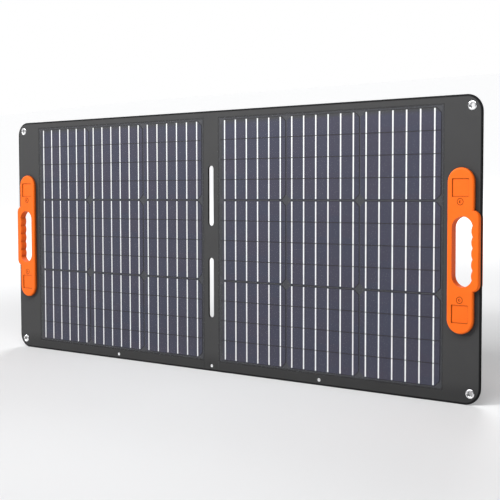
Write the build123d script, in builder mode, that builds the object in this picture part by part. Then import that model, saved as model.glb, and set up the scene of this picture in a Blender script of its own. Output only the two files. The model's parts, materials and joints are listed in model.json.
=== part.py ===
"""Portable two-fold solar panel, standing unfolded and leaning back on its two rear kickstands.

Two stiff halves hang on one soft spine. They fold towards each other about two creases, until
the faces of their handles meet. Positions are given on the front face: u to the right of the
spine, v up from the bottom edge, w out of the face, which leans back from the vertical by LEAN.
World frame: +X right, +Y to the rear, +Z up, origin on the floor under the middle.
"""

import os
from math import cos, radians, sin

from build123d import *

# Panel
PANEL_W = 1220.0
PANEL_H = 540.0
CORNER_R = 31.0
THICK = 5.0
SKIN = 1.2
LEAN = radians(8.0)
BINDING_W = 3.0
BINDING_R = 2.4
TOUCH = 0.05

# Fold: the handle faces meet with FOLD_GAP between them
HANDLE_PROUD = 8.0
FOLD_GAP = 0.6
CREASE_U = HANDLE_PROUD + FOLD_GAP / 2 + THICK / 2
LIP_T = 1.0
LIP_ROUND = 0.95
CREASE_GAP = 0.65
LIP_MID = -THICK / 2
LIP_END = CREASE_U + CREASE_GAP
THICK_FROM = 19.0
SOFT_INSET = 1.5
SLOT_L = 126.0
SLOT_W = 15.0
SLOT_RISE = 95.4
SLOT_MID_V = 269.8

# Solar cells: three columns of three cells on each half, each cell cut into four strips
CELL_W = 167.6
CELL_H = 163.5
CELL_CHAMFER = (10.0, 9.5)
COLUMN_PITCH = 169.4
ROW_PITCH = 165.5
CELLS_BOTTOM = 26.2
BLOCK_LEFT = {-1: -530.7, 1: 25.3}
BLOCK_W = 2 * COLUMN_PITCH + CELL_W
BLOCK_H = 2 * ROW_PITCH + CELL_H
STRIPS = 4
STRIP_GAP = 0.5
CELL_TOP_W = -0.25
CELL_T = 0.3
RIBBONS = 6
RIBBON_W = 2.9
RIBBON_FIRST = 12.3
RIBBON_PITCH = 28.3
RIBBON_STOP = 0.5
WINDOW_MARGIN = 3.0
WINDOW_R = 2.0
FILM_MARGIN = 5.8
FILM_T = 0.4
BUS_W = 5.0
BUS_T = 0.2
BUS_INSET = 4.0

# Eyelets
GROMMET_INSET = 20.0
GROMMET_R = 8.5
GROMMET_HOLE_R = 4.5
GROMMET_WALL = 0.9
GROMMET_DOME = 1.3
WASHER_T = 1.0
EYELET_U = 272.0
EYELET_V = 10.6
EYELET_R = 3.2
EYELET_HOLE_R = 1.7
EYELET_WALL = 0.6
EYELET_DOME = 0.7
EYELET_CURL = 0.4

# Handles
HANDLE_U = 572.5
HANDLE_V = 269.0
HANDLE_W = 51.0
HANDLE_L = 290.0
BULGE_U = 609.0
BULGE_L = 142.0
BULGE_R = 14.0
WAIST_R = 5.0
HANDLE_BACK_T = 3.0
HANDLE_EDGE_R = 3.5
FOOT_INSET = 1.0
FOOT_RISE = 1.6
GRIP_U = 576.6
GRIP_V = 267.5
GRIP_W = 40.0
GRIP_L = 123.0
BUMP_PITCH = 19.4
BUMP_DEEP = 2.6
BUMP_MID_V = 265.0
BUMPS = 5
COLLAR_T = 1.6
SQUARE_W = 32.0
SQUARE_DEEP = 1.5
SQUARE_R = 1.5
SQUARE_DV = 110.0
RING_R = 6.25
RING_LINE = 1.1
RING_DEEP = 0.9
RING_DOT_R = 2.4
RING_DV = 85.5
MAGNET_W = 24.0
MAGNET_T = 4.0
SCREW_R = 1.45
SCREW_HEAD_R = 2.8
SCREW_HEAD_T = 1.5
SCREW_REACH = 5.0
SOCKET_R = 1.2
SOCKET_SIDES = 6
SCREW_SPOTS = [(0, 71), (-18, 84), (18, 84), (0, 134)]

# Kickstands, one behind each half; the strap stops them at twice the lean
STAND_U = 305.0
STAND_W = 220.0
STAND_HINGE_V = 430.0
STAND_T = 3.8
STAND_BOARD_T = 2.4
STAND_OPEN = 2 * LEAN
STAND_GAP = 0.3
STAND_HINGE_W = -THICK - STAND_GAP - STAND_T / 2
STAND_BOARD_TOP = 3.8
STAND_SEAM = 3.0
FOOT_R = 3.0
FOOT_GRIP = 12.0
FOOT_SLOT = 8.0
HINGE_STRIP_H = 20.0
HINGE_STRIP_T = 1.0
HINGE_STRIP_LIFT = 3.0
STRAP_W = 22.0
STRAP_T = 1.2
STRAP_DOWN = 250.0
STRAP_CLEAR = 0.5
ANCHOR_W = 34.0
ANCHOR_H = 26.0
ANCHOR_T = 0.8
ANCHOR_R = 2.0
PATCH_W = 34.0
PATCH_T = 1.6
PATCH_R = 4.0
PATCH_DOWN = 385.0

# Junction box and cable pocket behind the left half
BOX_U = -112.0
BOX_V = 335.0
BOX_W = 92.0
BOX_H = 62.0
BOX_DEEP = 12.0
BOX_WALL = 2.0
BOX_LID_T = 3.0
BOX_R = 8.0
BOX_LID_EDGE_R = 1.4
BOX_SCREW_R = 1.45
POST_R = 4.0
POST_HOLE = 8.0
BOX_SCREW_INSET = 6.5
BOX_SCREW_REACH = 7.0
GLAND_W = -12.0
GLAND_HOLE_R = 3.2
GLAND_SLEEVE_R = 4.4
GLAND_L = 18.0
NUT_R = 5.6
NUT_L = 5.0
GLAND_BODY_R = 4.8
PCB_W = 62.0
PCB_H = 42.0
PCB_T = 1.6
PCB_LIFT = 1.0
PCB_UP = 2.0
DIODE = (14.0, 7.0)
DIODE_SPOTS = [(-16.0, 12.0), (16.0, 12.0)]
TERMINALS = (30.0, 10.0)
TERMINALS_DOWN = 8.0
COMPONENT_T = 4.0
COMPONENT_BASE = 0.5
POCKET_U = -112.0
POCKET_V = 140.0
POCKET_W = 140.0
POCKET_H = 190.0
POCKET_T = 12.0
POCKET_R = 16.0
POCKET_EDGE_R = 7.2
ZIP_DROP = 26.0
ZIP_L = 116.0
ZIP_W = 16.0
ZIP_T = 1.2
ZIP_R = 1.5
SLIDER_L = 14.0
SLIDER_W = 9.0
SLIDER_T = 3.0
SLIDER_R = 3.0
SLIDER_GAP = 0.3
SLIDER_START = 3.0
TAB_L = 26.0
TAB_W = 6.0
TAB_T = 1.6
TAB_R = 2.5
TAB_DOWN = 10.0
TAB_SINK = 0.2
TAB_SLOT = (7.0, 3.0)
TAB_SLOT_DOWN = 18.0

# The kickstand's foot meets the floor that the panel's bottom edge rests on
FLOOR_LIFT = BINDING_R + (THICK - BINDING_R) * sin(LEAN) - BINDING_R * cos(LEAN)
FOOT_SLOPE = STAND_OPEN - LEAN
STAND_LENGTH = (
    STAND_HINGE_V * cos(LEAN) + STAND_HINGE_W * sin(LEAN) + FLOOR_LIFT - FOOT_R
) / cos(FOOT_SLOPE)
FOOT_V = STAND_HINGE_V - STAND_LENGTH * cos(STAND_OPEN)
FOOT_W = STAND_HINGE_W - STAND_LENGTH * sin(STAND_OPEN)
REAR_Y = FOOT_V * sin(LEAN) - FOOT_W * cos(LEAN) + FOOT_R
FRONT_Y = BINDING_R * sin(LEAN) + BINDING_R * cos(LEAN) - BINDING_R

FACE = Plane(
    origin=(0, -(REAR_Y + FRONT_Y) / 2, FLOOR_LIFT),
    x_dir=(1, 0, 0),
    z_dir=(0, -cos(LEAN), sin(LEAN)),
)


def stand_plane(side):
    """Mid-plane of an open kickstand: y runs up it to the hinge line, z faces the panel."""
    hinge = FACE.from_local_coords((side * STAND_U, STAND_HINGE_V, STAND_HINGE_W))
    return Plane(origin=hinge, x_dir=(1, 0, 0), z_dir=(0, -cos(FOOT_SLOPE), -sin(FOOT_SLOPE)))


def save(piece, name):
    """Label a finished piece and write its STEP file."""
    piece.part.label = name
    export_step(piece.part, f"parts/{name}.step")


def slab(outline, back, front, plane=FACE):
    """Prism of an outline on the panel's face, or on another plane, between two depths."""
    with BuildPart() as piece:
        with BuildSketch(plane.offset(back)):
            add(outline)
        extrude(amount=front - back)
    return piece


# ---------------------------------------------------------------- outlines on the face
def half(side, inset, from_u):
    """One half of the panel's outline, inset all round and cut off short of the spine."""
    with BuildSketch() as outline:
        with Locations((0, PANEL_H / 2)):
            RectangleRounded(PANEL_W - 2 * inset, PANEL_H - 2 * inset, CORNER_R - inset)
        with Locations((side * (from_u - PANEL_W), PANEL_H / 2)):
            Rectangle(2 * PANEL_W, 2 * PANEL_H, mode=Mode.SUBTRACT)
    return outline.sketch


def rectangle(u, v, width, height, radius=0.0):
    """A rectangle centred at (u, v), with rounded corners if a radius is given."""
    with BuildSketch() as outline:
        with Locations((u, v)):
            if radius:
                RectangleRounded(width, height, radius)
            else:
                Rectangle(width, height)
    return outline.sketch


def corner_spots(side):
    """Centres of the two corner grommets of one half."""
    u = side * (PANEL_W / 2 - GROMMET_INSET)
    return [(u, GROMMET_INSET), (u, PANEL_H - GROMMET_INSET)]


def screw_spots(side):
    """Centres of the eight screws that clamp one handle's plates together."""
    return [
        (side * (HANDLE_U + du), HANDLE_V + end * dv)
        for end in (-1, 1)
        for du, dv in SCREW_SPOTS
    ]


def layer_holes(side):
    """Everything cut through the layers of one half: eyelets, hand hole and screw holes."""
    with BuildSketch() as holes:
        with Locations(*corner_spots(side)):
            Circle(GROMMET_HOLE_R + GROMMET_WALL + TOUCH)
        with Locations((side * EYELET_U, EYELET_V)):
            Circle(EYELET_HOLE_R + EYELET_WALL + TOUCH)
        with Locations((side * GRIP_U, GRIP_V)):
            SlotOverall(
                GRIP_L + 2 * (COLLAR_T + TOUCH), GRIP_W + 2 * (COLLAR_T + TOUCH), rotation=90
            )
        with Locations(*screw_spots(side)):
            Circle(SCREW_R + TOUCH)
    return holes.sketch


def handle_outline(side):
    """A handle plate: a long round-ended body with a bulge out to the panel's edge."""
    bulge_w = BULGE_U - HANDLE_U
    with BuildSketch() as outline:
        with Locations((side * HANDLE_U, HANDLE_V)):
            SlotOverall(HANDLE_L, HANDLE_W, rotation=90)
        with Locations((side * HANDLE_U, HANDLE_V)):
            RectangleRounded(2 * bulge_w, BULGE_L, BULGE_R)
        with Locations((side * (HANDLE_U - HANDLE_W), HANDLE_V)):
            Rectangle(HANDLE_W, HANDLE_L, mode=Mode.SUBTRACT)
        waists = [
            corner
            for corner in outline.vertices()
            if abs(abs(corner.X) - HANDLE_U - HANDLE_W / 2) < 0.01
            and abs(abs(corner.Y - HANDLE_V) - BULGE_L / 2) < 0.01
        ]
        fillet(waists, WAIST_R)
    return outline.sketch


def grip_hole(side):
    """The hand hole: a long slot whose outer wall swells into a row of finger bumps."""
    wall = side * (GRIP_U + GRIP_W / 2)
    bump_r = (BUMP_PITCH**2 / 4 + BUMP_DEEP**2) / (2 * BUMP_DEEP)
    with BuildSketch() as hole:
        with Locations((side * GRIP_U, GRIP_V)):
            SlotOverall(GRIP_L, GRIP_W, rotation=90)
        for index in range(BUMPS):
            v = BUMP_MID_V + (index - (BUMPS - 1) / 2) * BUMP_PITCH
            with Locations((wall + side * (bump_r - BUMP_DEEP), v)):
                Circle(bump_r, mode=Mode.SUBTRACT)
    return max(hole.sketch.faces(), key=lambda face: face.area)


# ---------------------------------------------------------------- layers of one half
def crease_lip(side, back, front, plane_back):
    """Thin lip that carries a skin from the thick half down to its rounded crease edge."""
    mid = side * (LIP_END + THICK_FROM) / 2
    height = PANEL_H - 2 * SOFT_INSET
    with BuildPart() as lip:
        with BuildSketch(FACE.offset(back)):
            with Locations((mid, PANEL_H / 2)):
                Rectangle(THICK_FROM - LIP_END, height)
        extrude(amount=front - back)
        outer = front if plane_back else back
        tip = FACE.from_local_coords((side * LIP_END, PANEL_H / 2, outer))
        edge = lip.edges().sort_by(lambda e: (e.center() - tip).length)[0]
        fillet(edge, LIP_ROUND)
    return lip.part


def skin(side, back, front, lip_back, lip_front, is_front):
    """A fabric face of one half, with the wall and lip that lead it to the crease."""
    wall_back, wall_front = (lip_back, front) if is_front else (back, lip_front)
    with BuildPart() as piece:
        with BuildSketch(FACE.offset(back)):
            add(half(side, BINDING_W, THICK_FROM))
            add(layer_holes(side), mode=Mode.SUBTRACT)
            if is_front:
                add(window(side), mode=Mode.SUBTRACT)
        extrude(amount=front - back)
        with BuildSketch(FACE.offset(wall_back)):
            with Locations((side * (THICK_FROM + SKIN / 2), PANEL_H / 2)):
                Rectangle(SKIN, PANEL_H - 2 * BINDING_W)
        extrude(amount=wall_front - wall_back)
        add(crease_lip(side, lip_back, lip_front, is_front))
    return piece


def block_centre(side):
    """Centre of the cell block of one half."""
    return BLOCK_LEFT[side] + BLOCK_W / 2, CELLS_BOTTOM + BLOCK_H / 2


def window(side, margin=WINDOW_MARGIN):
    """The cell block's rectangle with a margin all round."""
    u, v = block_centre(side)
    return rectangle(u, v, BLOCK_W + 2 * margin, BLOCK_H + 2 * margin, WINDOW_R)


def cells(side):
    """Nine cells with chamfered corners, each cut into strips."""
    chamfer_u, chamfer_v = CELL_CHAMFER
    with BuildSketch() as cell:
        Polygon(
            (chamfer_u, 0),
            (CELL_W - chamfer_u, 0),
            (CELL_W, chamfer_v),
            (CELL_W, CELL_H - chamfer_v),
            (CELL_W - chamfer_u, CELL_H),
            (chamfer_u, CELL_H),
            (0, CELL_H - chamfer_v),
            (0, chamfer_v),
            align=None,
        )
        for strip in range(1, STRIPS):
            with Locations((CELL_W / 2, strip * CELL_H / STRIPS)):
                Rectangle(CELL_W, STRIP_GAP, mode=Mode.SUBTRACT)
    with BuildSketch() as block:
        for column in range(3):
            for row in range(3):
                with Locations(
                    (BLOCK_LEFT[side] + column * COLUMN_PITCH, CELLS_BOTTOM + row * ROW_PITCH)
                ):
                    add(cell.sketch)
    return slab(block.sketch, CELL_TOP_W - CELL_T, CELL_TOP_W)


def ribbons(side):
    """The tinned ribbons that run down every column of cells."""
    _, v = block_centre(side)
    with BuildSketch() as lines:
        for column in range(3):
            for ribbon in range(RIBBONS):
                offset = column * COLUMN_PITCH + RIBBON_FIRST + ribbon * RIBBON_PITCH
                with Locations((BLOCK_LEFT[side] + offset, v)):
                    Rectangle(RIBBON_W, BLOCK_H - 2 * RIBBON_STOP)
    return slab(lines.sketch, CELL_TOP_W, 0.0)


def bus_bars(side):
    """The two cross connectors behind the cells, at the top and the bottom of the block."""
    u, v = block_centre(side)
    rise = BLOCK_H / 2 - BUS_W
    with BuildSketch() as lines:
        with Locations((u, v - rise), (u, v + rise)):
            Rectangle(BLOCK_W - 2 * BUS_INSET, BUS_W)
    return slab(lines.sketch, -SKIN, -SKIN + BUS_T)


def edge_binding(side):
    """The rounded rim round three sides of one half."""
    with BuildPart() as piece:
        with BuildSketch(FACE.offset(-THICK)):
            with Locations((0, PANEL_H / 2)):
                RectangleRounded(PANEL_W, PANEL_H, CORNER_R)
        extrude(amount=THICK)
        faces = piece.faces().sort_by(lambda f: f.area)[-2:]
        fillet(faces.edges(), BINDING_R)
        with BuildSketch(FACE.offset(-THICK)):
            with Locations((0, PANEL_H / 2)):
                RectangleRounded(
                    PANEL_W - 2 * BINDING_W, PANEL_H - 2 * BINDING_W, CORNER_R - BINDING_W
                )
            with Locations((side * (THICK_FROM - PANEL_W), PANEL_H / 2)):
                Rectangle(2 * PANEL_W, 2 * PANEL_H)
        extrude(amount=THICK, mode=Mode.SUBTRACT)
    return piece


# ---------------------------------------------------------------- eyelets
def eyelets(spots, hole_r, wall, rim_r, dome, back, front):
    """Barrels with a domed front flange, through the layers between two depths."""
    section = [(hole_r, back), (hole_r + wall, back), (hole_r + wall, front), (rim_r, front)]
    with BuildPart() as piece:
        for u, v in spots:
            axis_plane = Plane(
                origin=FACE.from_local_coords((u, v, 0)), x_dir=(1, 0, 0), z_dir=-FACE.y_dir
            )
            with BuildSketch(axis_plane):
                with BuildLine():
                    Polyline(*section)
                    ThreePointArc(
                        (rim_r, front),
                        ((rim_r + hole_r) / 2, front + dome),
                        (hole_r, front),
                    )
                    Line((hole_r, front), (hole_r, back))
                make_face()
            revolve(axis=Axis(FACE.from_local_coords((u, v, 0)), FACE.z_dir))
    return piece


def washers(spots, inner_r, outer_r, back, front):
    """Flat rings that the eyelets' barrels are closed over."""
    with BuildSketch() as rings:
        with Locations(*spots):
            Circle(outer_r)
            Circle(inner_r, mode=Mode.SUBTRACT)
    return slab(rings.sketch, back, front)


# ---------------------------------------------------------------- handles
def handle_front(side):
    """Front plate: rounded rim, shadow line round its foot, hand hole, shallow squares, round
    marks and magnet pockets."""
    with BuildPart() as piece:
        with BuildSketch(FACE):
            add(handle_outline(side))
        extrude(amount=HANDLE_PROUD)
        top = piece.faces().filter_by(FACE, reverse=False).sort_by(Axis(FACE.origin, FACE.z_dir))
        fillet(top[-1].edges(), HANDLE_EDGE_R)
        with BuildSketch(FACE):
            add(handle_outline(side))
            offset(handle_outline(side), amount=-FOOT_INSET, mode=Mode.SUBTRACT)
        extrude(amount=FOOT_RISE, mode=Mode.SUBTRACT)
        with BuildSketch(FACE):
            add(grip_hole(side))
        extrude(amount=HANDLE_PROUD, mode=Mode.SUBTRACT)
        ends = [(side * HANDLE_U, HANDLE_V + end * SQUARE_DV) for end in (-1, 1)]
        with BuildSketch(FACE.offset(HANDLE_PROUD)):
            with Locations(*ends):
                RectangleRounded(SQUARE_W, SQUARE_W, SQUARE_R)
        extrude(amount=-SQUARE_DEEP, mode=Mode.SUBTRACT)
        with BuildSketch(FACE.offset(HANDLE_PROUD)):
            with Locations(*[(side * HANDLE_U, HANDLE_V + end * RING_DV) for end in (-1, 1)]):
                Circle(RING_R)
                Circle(RING_R - RING_LINE, mode=Mode.SUBTRACT)
                Circle(RING_DOT_R)
        extrude(amount=-RING_DEEP, mode=Mode.SUBTRACT)
        with BuildSketch(FACE):
            with Locations(*ends):
                Rectangle(MAGNET_W + 2 * TOUCH, MAGNET_W + 2 * TOUCH)
        extrude(amount=MAGNET_T + TOUCH, mode=Mode.SUBTRACT)
        with BuildSketch(FACE):
            with Locations(*screw_spots(side)):
                Circle(SCREW_R + TOUCH)
        extrude(amount=SCREW_REACH + TOUCH, mode=Mode.SUBTRACT)
    return piece


def handle_back(side):
    """Back plate with the collar that lines the hand hole through the panel."""
    with BuildPart() as piece:
        with BuildSketch(FACE.offset(-THICK - HANDLE_BACK_T)):
            add(handle_outline(side))
        extrude(amount=HANDLE_BACK_T)
        rear = piece.faces().filter_by(FACE, reverse=False).sort_by(Axis(FACE.origin, FACE.z_dir))
        fillet(rear[0].edges(), HANDLE_BACK_T / 2)
        with BuildSketch(FACE.offset(-THICK)):
            with Locations((side * GRIP_U, GRIP_V)):
                SlotOverall(GRIP_L + 2 * COLLAR_T, GRIP_W + 2 * COLLAR_T, rotation=90)
        extrude(amount=THICK)
        with BuildSketch(FACE.offset(-THICK - HANDLE_BACK_T)):
            add(grip_hole(side))
        extrude(amount=THICK + HANDLE_BACK_T, mode=Mode.SUBTRACT)
        with BuildSketch(FACE.offset(-THICK - HANDLE_BACK_T)):
            with Locations(*screw_spots(side)):
                Circle(SCREW_R + TOUCH)
        extrude(amount=HANDLE_BACK_T, mode=Mode.SUBTRACT)
        with BuildSketch(FACE.offset(-THICK - HANDLE_BACK_T)):
            with Locations(*screw_spots(side)):
                Circle(SCREW_HEAD_R + TOUCH)
        extrude(amount=SCREW_HEAD_T + TOUCH, mode=Mode.SUBTRACT)
    return piece


def handle_magnets(side):
    """The two square magnets behind the shallow squares."""
    with BuildSketch() as blocks:
        with Locations(*[(side * HANDLE_U, HANDLE_V + end * SQUARE_DV) for end in (-1, 1)]):
            Rectangle(MAGNET_W, MAGNET_W)
    return slab(blocks.sketch, 0.0, MAGNET_T)


def handle_screws(side):
    """Pan-head screws from the back plate through the panel into the front plate."""
    head_back = -THICK - HANDLE_BACK_T
    with BuildPart() as piece:
        with BuildSketch(FACE.offset(head_back)):
            with Locations(*screw_spots(side)):
                Circle(SCREW_HEAD_R)
                RegularPolygon(SOCKET_R, SOCKET_SIDES, mode=Mode.SUBTRACT)
        extrude(amount=SCREW_HEAD_T)
        with BuildSketch(FACE.offset(head_back + SCREW_HEAD_T / 2)):
            with Locations(*screw_spots(side)):
                Circle(SCREW_R)
        extrude(amount=SCREW_REACH - head_back - SCREW_HEAD_T / 2)
    return piece


# ---------------------------------------------------------------- spine
def spine_skin(back, front, is_front):
    """One of the two welded skins between the creases, with the two long slots."""
    half_w = CREASE_U - CREASE_GAP
    with BuildPart() as piece:
        with BuildSketch(FACE.offset(back)):
            with Locations((0, PANEL_H / 2)):
                Rectangle(2 * half_w, PANEL_H - 2 * SOFT_INSET)
        extrude(amount=front - back)
        outer = front if is_front else back
        for side in (-1, 1):
            tip = FACE.from_local_coords((side * half_w, PANEL_H / 2, outer))
            edge = piece.edges().sort_by(lambda e: (e.center() - tip).length)[0]
            fillet(edge, LIP_ROUND)
        with BuildSketch(FACE.offset(back)):
            with Locations((0, SLOT_MID_V - SLOT_RISE), (0, SLOT_MID_V + SLOT_RISE)):
                SlotOverall(SLOT_L, SLOT_W, rotation=90)
            with Locations((0, EYELET_V)):
                Circle(EYELET_HOLE_R + EYELET_WALL + TOUCH)
        extrude(amount=front - back, mode=Mode.SUBTRACT)
    return piece


# ---------------------------------------------------------------- kickstands
def stand_section(side):
    """Plane of a kickstand's cross-section at its right-hand edge: x out of the back, y up it."""
    plane = stand_plane(side)
    edge = plane.from_local_coords((STAND_W / 2, 0, 0))
    return Plane(origin=edge, x_dir=plane.z_dir, z_dir=(-1, 0, 0))


def stand_cavity(spare):
    """The kickstand's board, and with some spare the cavity in its sleeve that holds it."""
    top = STAND_BOARD_TOP - spare
    bottom = STAND_LENGTH - FOOT_GRIP + FOOT_SLOT
    width = STAND_W - 2 * STAND_SEAM + 2 * spare
    return rectangle(0, -(top + bottom) / 2, width, bottom - top)


def kickstand_board(side):
    """Stiff inner sheet of a kickstand, down into the groove of the foot."""
    half_t = STAND_BOARD_T / 2
    return slab(stand_cavity(0.0), -half_t, half_t, stand_plane(side))


def kickstand_cover(side):
    """Fabric sleeve round the stiff sheet; its top edge is round, and turns on the hinge line."""
    length = STAND_LENGTH - FOOT_GRIP
    with BuildPart() as piece:
        with BuildSketch(stand_section(side)):
            Circle(STAND_T / 2)
            with Locations((0, -length / 2)):
                Rectangle(STAND_T, length)
        extrude(amount=STAND_W)
        with BuildSketch(stand_plane(side).offset(-STAND_BOARD_T / 2)):
            add(stand_cavity(TOUCH))
        extrude(amount=STAND_BOARD_T, mode=Mode.SUBTRACT)
    return piece


def kickstand_foot(side):
    """Rubber edge that grips the kickstand's end and stands on the floor."""
    groove = FOOT_SLOT + 2 * TOUCH
    with BuildPart() as piece:
        with BuildSketch(stand_section(side)):
            with Locations((0, -STAND_LENGTH)):
                Circle(FOOT_R)
            with Locations((0, -STAND_LENGTH + FOOT_GRIP / 2)):
                Rectangle(2 * FOOT_R, FOOT_GRIP)
            with Locations((0, -STAND_LENGTH + FOOT_GRIP - FOOT_SLOT / 2)):
                Rectangle(STAND_BOARD_T + 2 * TOUCH, groove, mode=Mode.SUBTRACT)
        extrude(amount=STAND_W)
    return piece


def hinge_strip(side):
    """Sewn flange above the hinge line, on the back of the panel."""
    v = STAND_HINGE_V + HINGE_STRIP_LIFT + HINGE_STRIP_H / 2
    outline = rectangle(side * STAND_U, v, STAND_W, HINGE_STRIP_H, PATCH_R)
    return slab(outline, -THICK - HINGE_STRIP_T, -THICK)


def strap_points():
    """Ends of the taut strap in (v, w): on the panel's anchor and short of the kickstand."""
    reach = STAND_T / 2 + STRAP_CLEAR
    v = STAND_HINGE_V - STRAP_DOWN * cos(STAND_OPEN) - reach * sin(STAND_OPEN)
    w = STAND_HINGE_W - STRAP_DOWN * sin(STAND_OPEN) + reach * cos(STAND_OPEN)
    return (v, -THICK - ANCHOR_T), (v, w)


def kickstand_strap(side):
    """Webbing strap that stops the kickstand, pulled straight at rest."""
    (v, start), (_, end) = strap_points()
    outline = rectangle(side * STAND_U, v, STRAP_W, STRAP_T)
    return slab(outline, end, start)


def strap_anchor(side):
    """Sewn patch on the panel's back that holds the strap."""
    (v, _), _ = strap_points()
    outline = rectangle(side * STAND_U, v, ANCHOR_W, ANCHOR_H, ANCHOR_R)
    return slab(outline, -THICK - ANCHOR_T, -THICK)


def hook_patch(side):
    """Hook patch on the kickstand's inner face."""
    outline = rectangle(0, -PATCH_DOWN, PATCH_W, PATCH_W, PATCH_R)
    return slab(outline, STAND_T / 2, STAND_T / 2 + PATCH_T, stand_plane(side))


def loop_patch(side):
    """Loop patch on the panel's back, where the closed kickstand's hook patch lands."""
    outline = rectangle(side * STAND_U, STAND_HINGE_V - PATCH_DOWN, PATCH_W, PATCH_W, PATCH_R)
    return slab(outline, -THICK - PATCH_T, -THICK)


# ---------------------------------------------------------------- junction box and pocket
def box_screw_spots():
    """Centres of the four lid screws."""
    du = BOX_W / 2 - BOX_SCREW_INSET
    dv = BOX_H / 2 - BOX_SCREW_INSET
    return [(BOX_U + a * du, BOX_V + b * dv) for a in (-1, 1) for b in (-1, 1)]


def junction_box_base():
    """Open tray fixed to the panel's back, with corner posts and the gland's hole."""
    depth = -THICK - BOX_DEEP
    with BuildPart() as piece:
        with BuildSketch(FACE.offset(depth)):
            add(rectangle(BOX_U, BOX_V, BOX_W, BOX_H, BOX_R))
        extrude(amount=BOX_DEEP)
        with BuildSketch(FACE.offset(depth)):
            inner_w, inner_h = BOX_W - 2 * BOX_WALL, BOX_H - 2 * BOX_WALL
            add(rectangle(BOX_U, BOX_V, inner_w, inner_h, BOX_R - BOX_WALL))
            with Locations(*box_screw_spots()):
                Circle(POST_R, mode=Mode.SUBTRACT)
        extrude(amount=BOX_DEEP - BOX_WALL, mode=Mode.SUBTRACT)
        with BuildSketch(FACE.offset(depth)):
            with Locations(*box_screw_spots()):
                Circle(BOX_SCREW_R + TOUCH)
        extrude(amount=POST_HOLE, mode=Mode.SUBTRACT)
        with BuildSketch(gland_plane()):
            Circle(GLAND_SLEEVE_R + TOUCH)
        extrude(amount=-BOX_WALL - TOUCH, mode=Mode.SUBTRACT)
    return piece


def gland_plane():
    """Outside of the box's wall next to the spine: z points out along the lead's way."""
    return Plane(
        origin=FACE.from_local_coords((BOX_U + BOX_W / 2, BOX_V, GLAND_W)),
        x_dir=FACE.y_dir,
        z_dir=(1, 0, 0),
    )


def output_gland():
    """Gland where the lead leaves: a hexagon, a round cap and a sleeve through the wall."""
    with BuildPart() as piece:
        with BuildSketch(gland_plane()):
            RegularPolygon(NUT_R, SOCKET_SIDES)
        extrude(amount=NUT_L)
        with BuildSketch(gland_plane().offset(NUT_L)):
            Circle(GLAND_BODY_R)
        extrude(amount=GLAND_L - NUT_L)
        with BuildSketch(gland_plane()):
            Circle(GLAND_SLEEVE_R)
        extrude(amount=-BOX_WALL)
        with BuildSketch(gland_plane().offset(-BOX_WALL)):
            Circle(GLAND_HOLE_R)
        extrude(amount=GLAND_L + BOX_WALL, mode=Mode.SUBTRACT)
    return piece


def junction_box_lid():
    """Flat lid with rounded edges and four screw holes."""
    back = -THICK - BOX_DEEP - BOX_LID_T
    with BuildPart() as piece:
        with BuildSketch(FACE.offset(back)):
            add(rectangle(BOX_U, BOX_V, BOX_W, BOX_H, BOX_R))
        extrude(amount=BOX_LID_T)
        rear = piece.faces().filter_by(FACE, reverse=False).sort_by(Axis(FACE.origin, FACE.z_dir))
        fillet(rear[0].edges(), BOX_LID_EDGE_R)
        with BuildSketch(FACE.offset(back)):
            with Locations(*box_screw_spots()):
                Circle(BOX_SCREW_R + TOUCH)
        extrude(amount=BOX_LID_T, mode=Mode.SUBTRACT)
        with BuildSketch(FACE.offset(back)):
            with Locations(*box_screw_spots()):
                Circle(SCREW_HEAD_R + TOUCH)
        extrude(amount=SCREW_HEAD_T + TOUCH, mode=Mode.SUBTRACT)
    return piece


def junction_box_screws():
    """The lid's four screws."""
    back = -THICK - BOX_DEEP - BOX_LID_T
    with BuildPart() as piece:
        with BuildSketch(FACE.offset(back)):
            with Locations(*box_screw_spots()):
                Circle(SCREW_HEAD_R)
                RegularPolygon(SOCKET_R, SOCKET_SIDES, mode=Mode.SUBTRACT)
        extrude(amount=SCREW_HEAD_T)
        with BuildSketch(FACE.offset(back + SCREW_HEAD_T / 2)):
            with Locations(*box_screw_spots()):
                Circle(BOX_SCREW_R)
        extrude(amount=BOX_LID_T + BOX_SCREW_REACH - SCREW_HEAD_T / 2)
    return piece


def circuit_board():
    """Board with two bypass diodes and a terminal block, inside the junction box."""
    front = -THICK - BOX_WALL - PCB_LIFT
    back = front - PCB_T
    with BuildPart() as piece:
        with BuildSketch(FACE.offset(back)):
            add(rectangle(BOX_U, BOX_V + PCB_UP, PCB_W, PCB_H))
        extrude(amount=PCB_T)
        with BuildSketch(FACE.offset(back - COMPONENT_T)):
            with Locations(*[(BOX_U + du, BOX_V + dv) for du, dv in DIODE_SPOTS]):
                Rectangle(*DIODE)
            with Locations((BOX_U, BOX_V - TERMINALS_DOWN)):
                Rectangle(*TERMINALS)
        extrude(amount=COMPONENT_T + COMPONENT_BASE)
    return piece


def cable_pocket():
    """Soft zipped pouch for the stowed lead, sewn to the panel's back."""
    with BuildPart() as piece:
        with BuildSketch(FACE.offset(-THICK - POCKET_T)):
            add(rectangle(POCKET_U, POCKET_V, POCKET_W, POCKET_H, POCKET_R))
        extrude(amount=POCKET_T)
        rear = piece.faces().filter_by(FACE, reverse=False).sort_by(Axis(FACE.origin, FACE.z_dir))
        fillet(rear[0].edges(), POCKET_EDGE_R)
    return piece


def zip_v():
    """Height of the zip on the pocket."""
    return POCKET_V + POCKET_H / 2 - ZIP_DROP


def zip_track():
    """Zip tape with its two rows of teeth, across the pocket below its top edge."""
    back = -THICK - POCKET_T - ZIP_T
    return slab(rectangle(POCKET_U, zip_v(), ZIP_L, ZIP_W, ZIP_R), back, back + ZIP_T)


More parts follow.
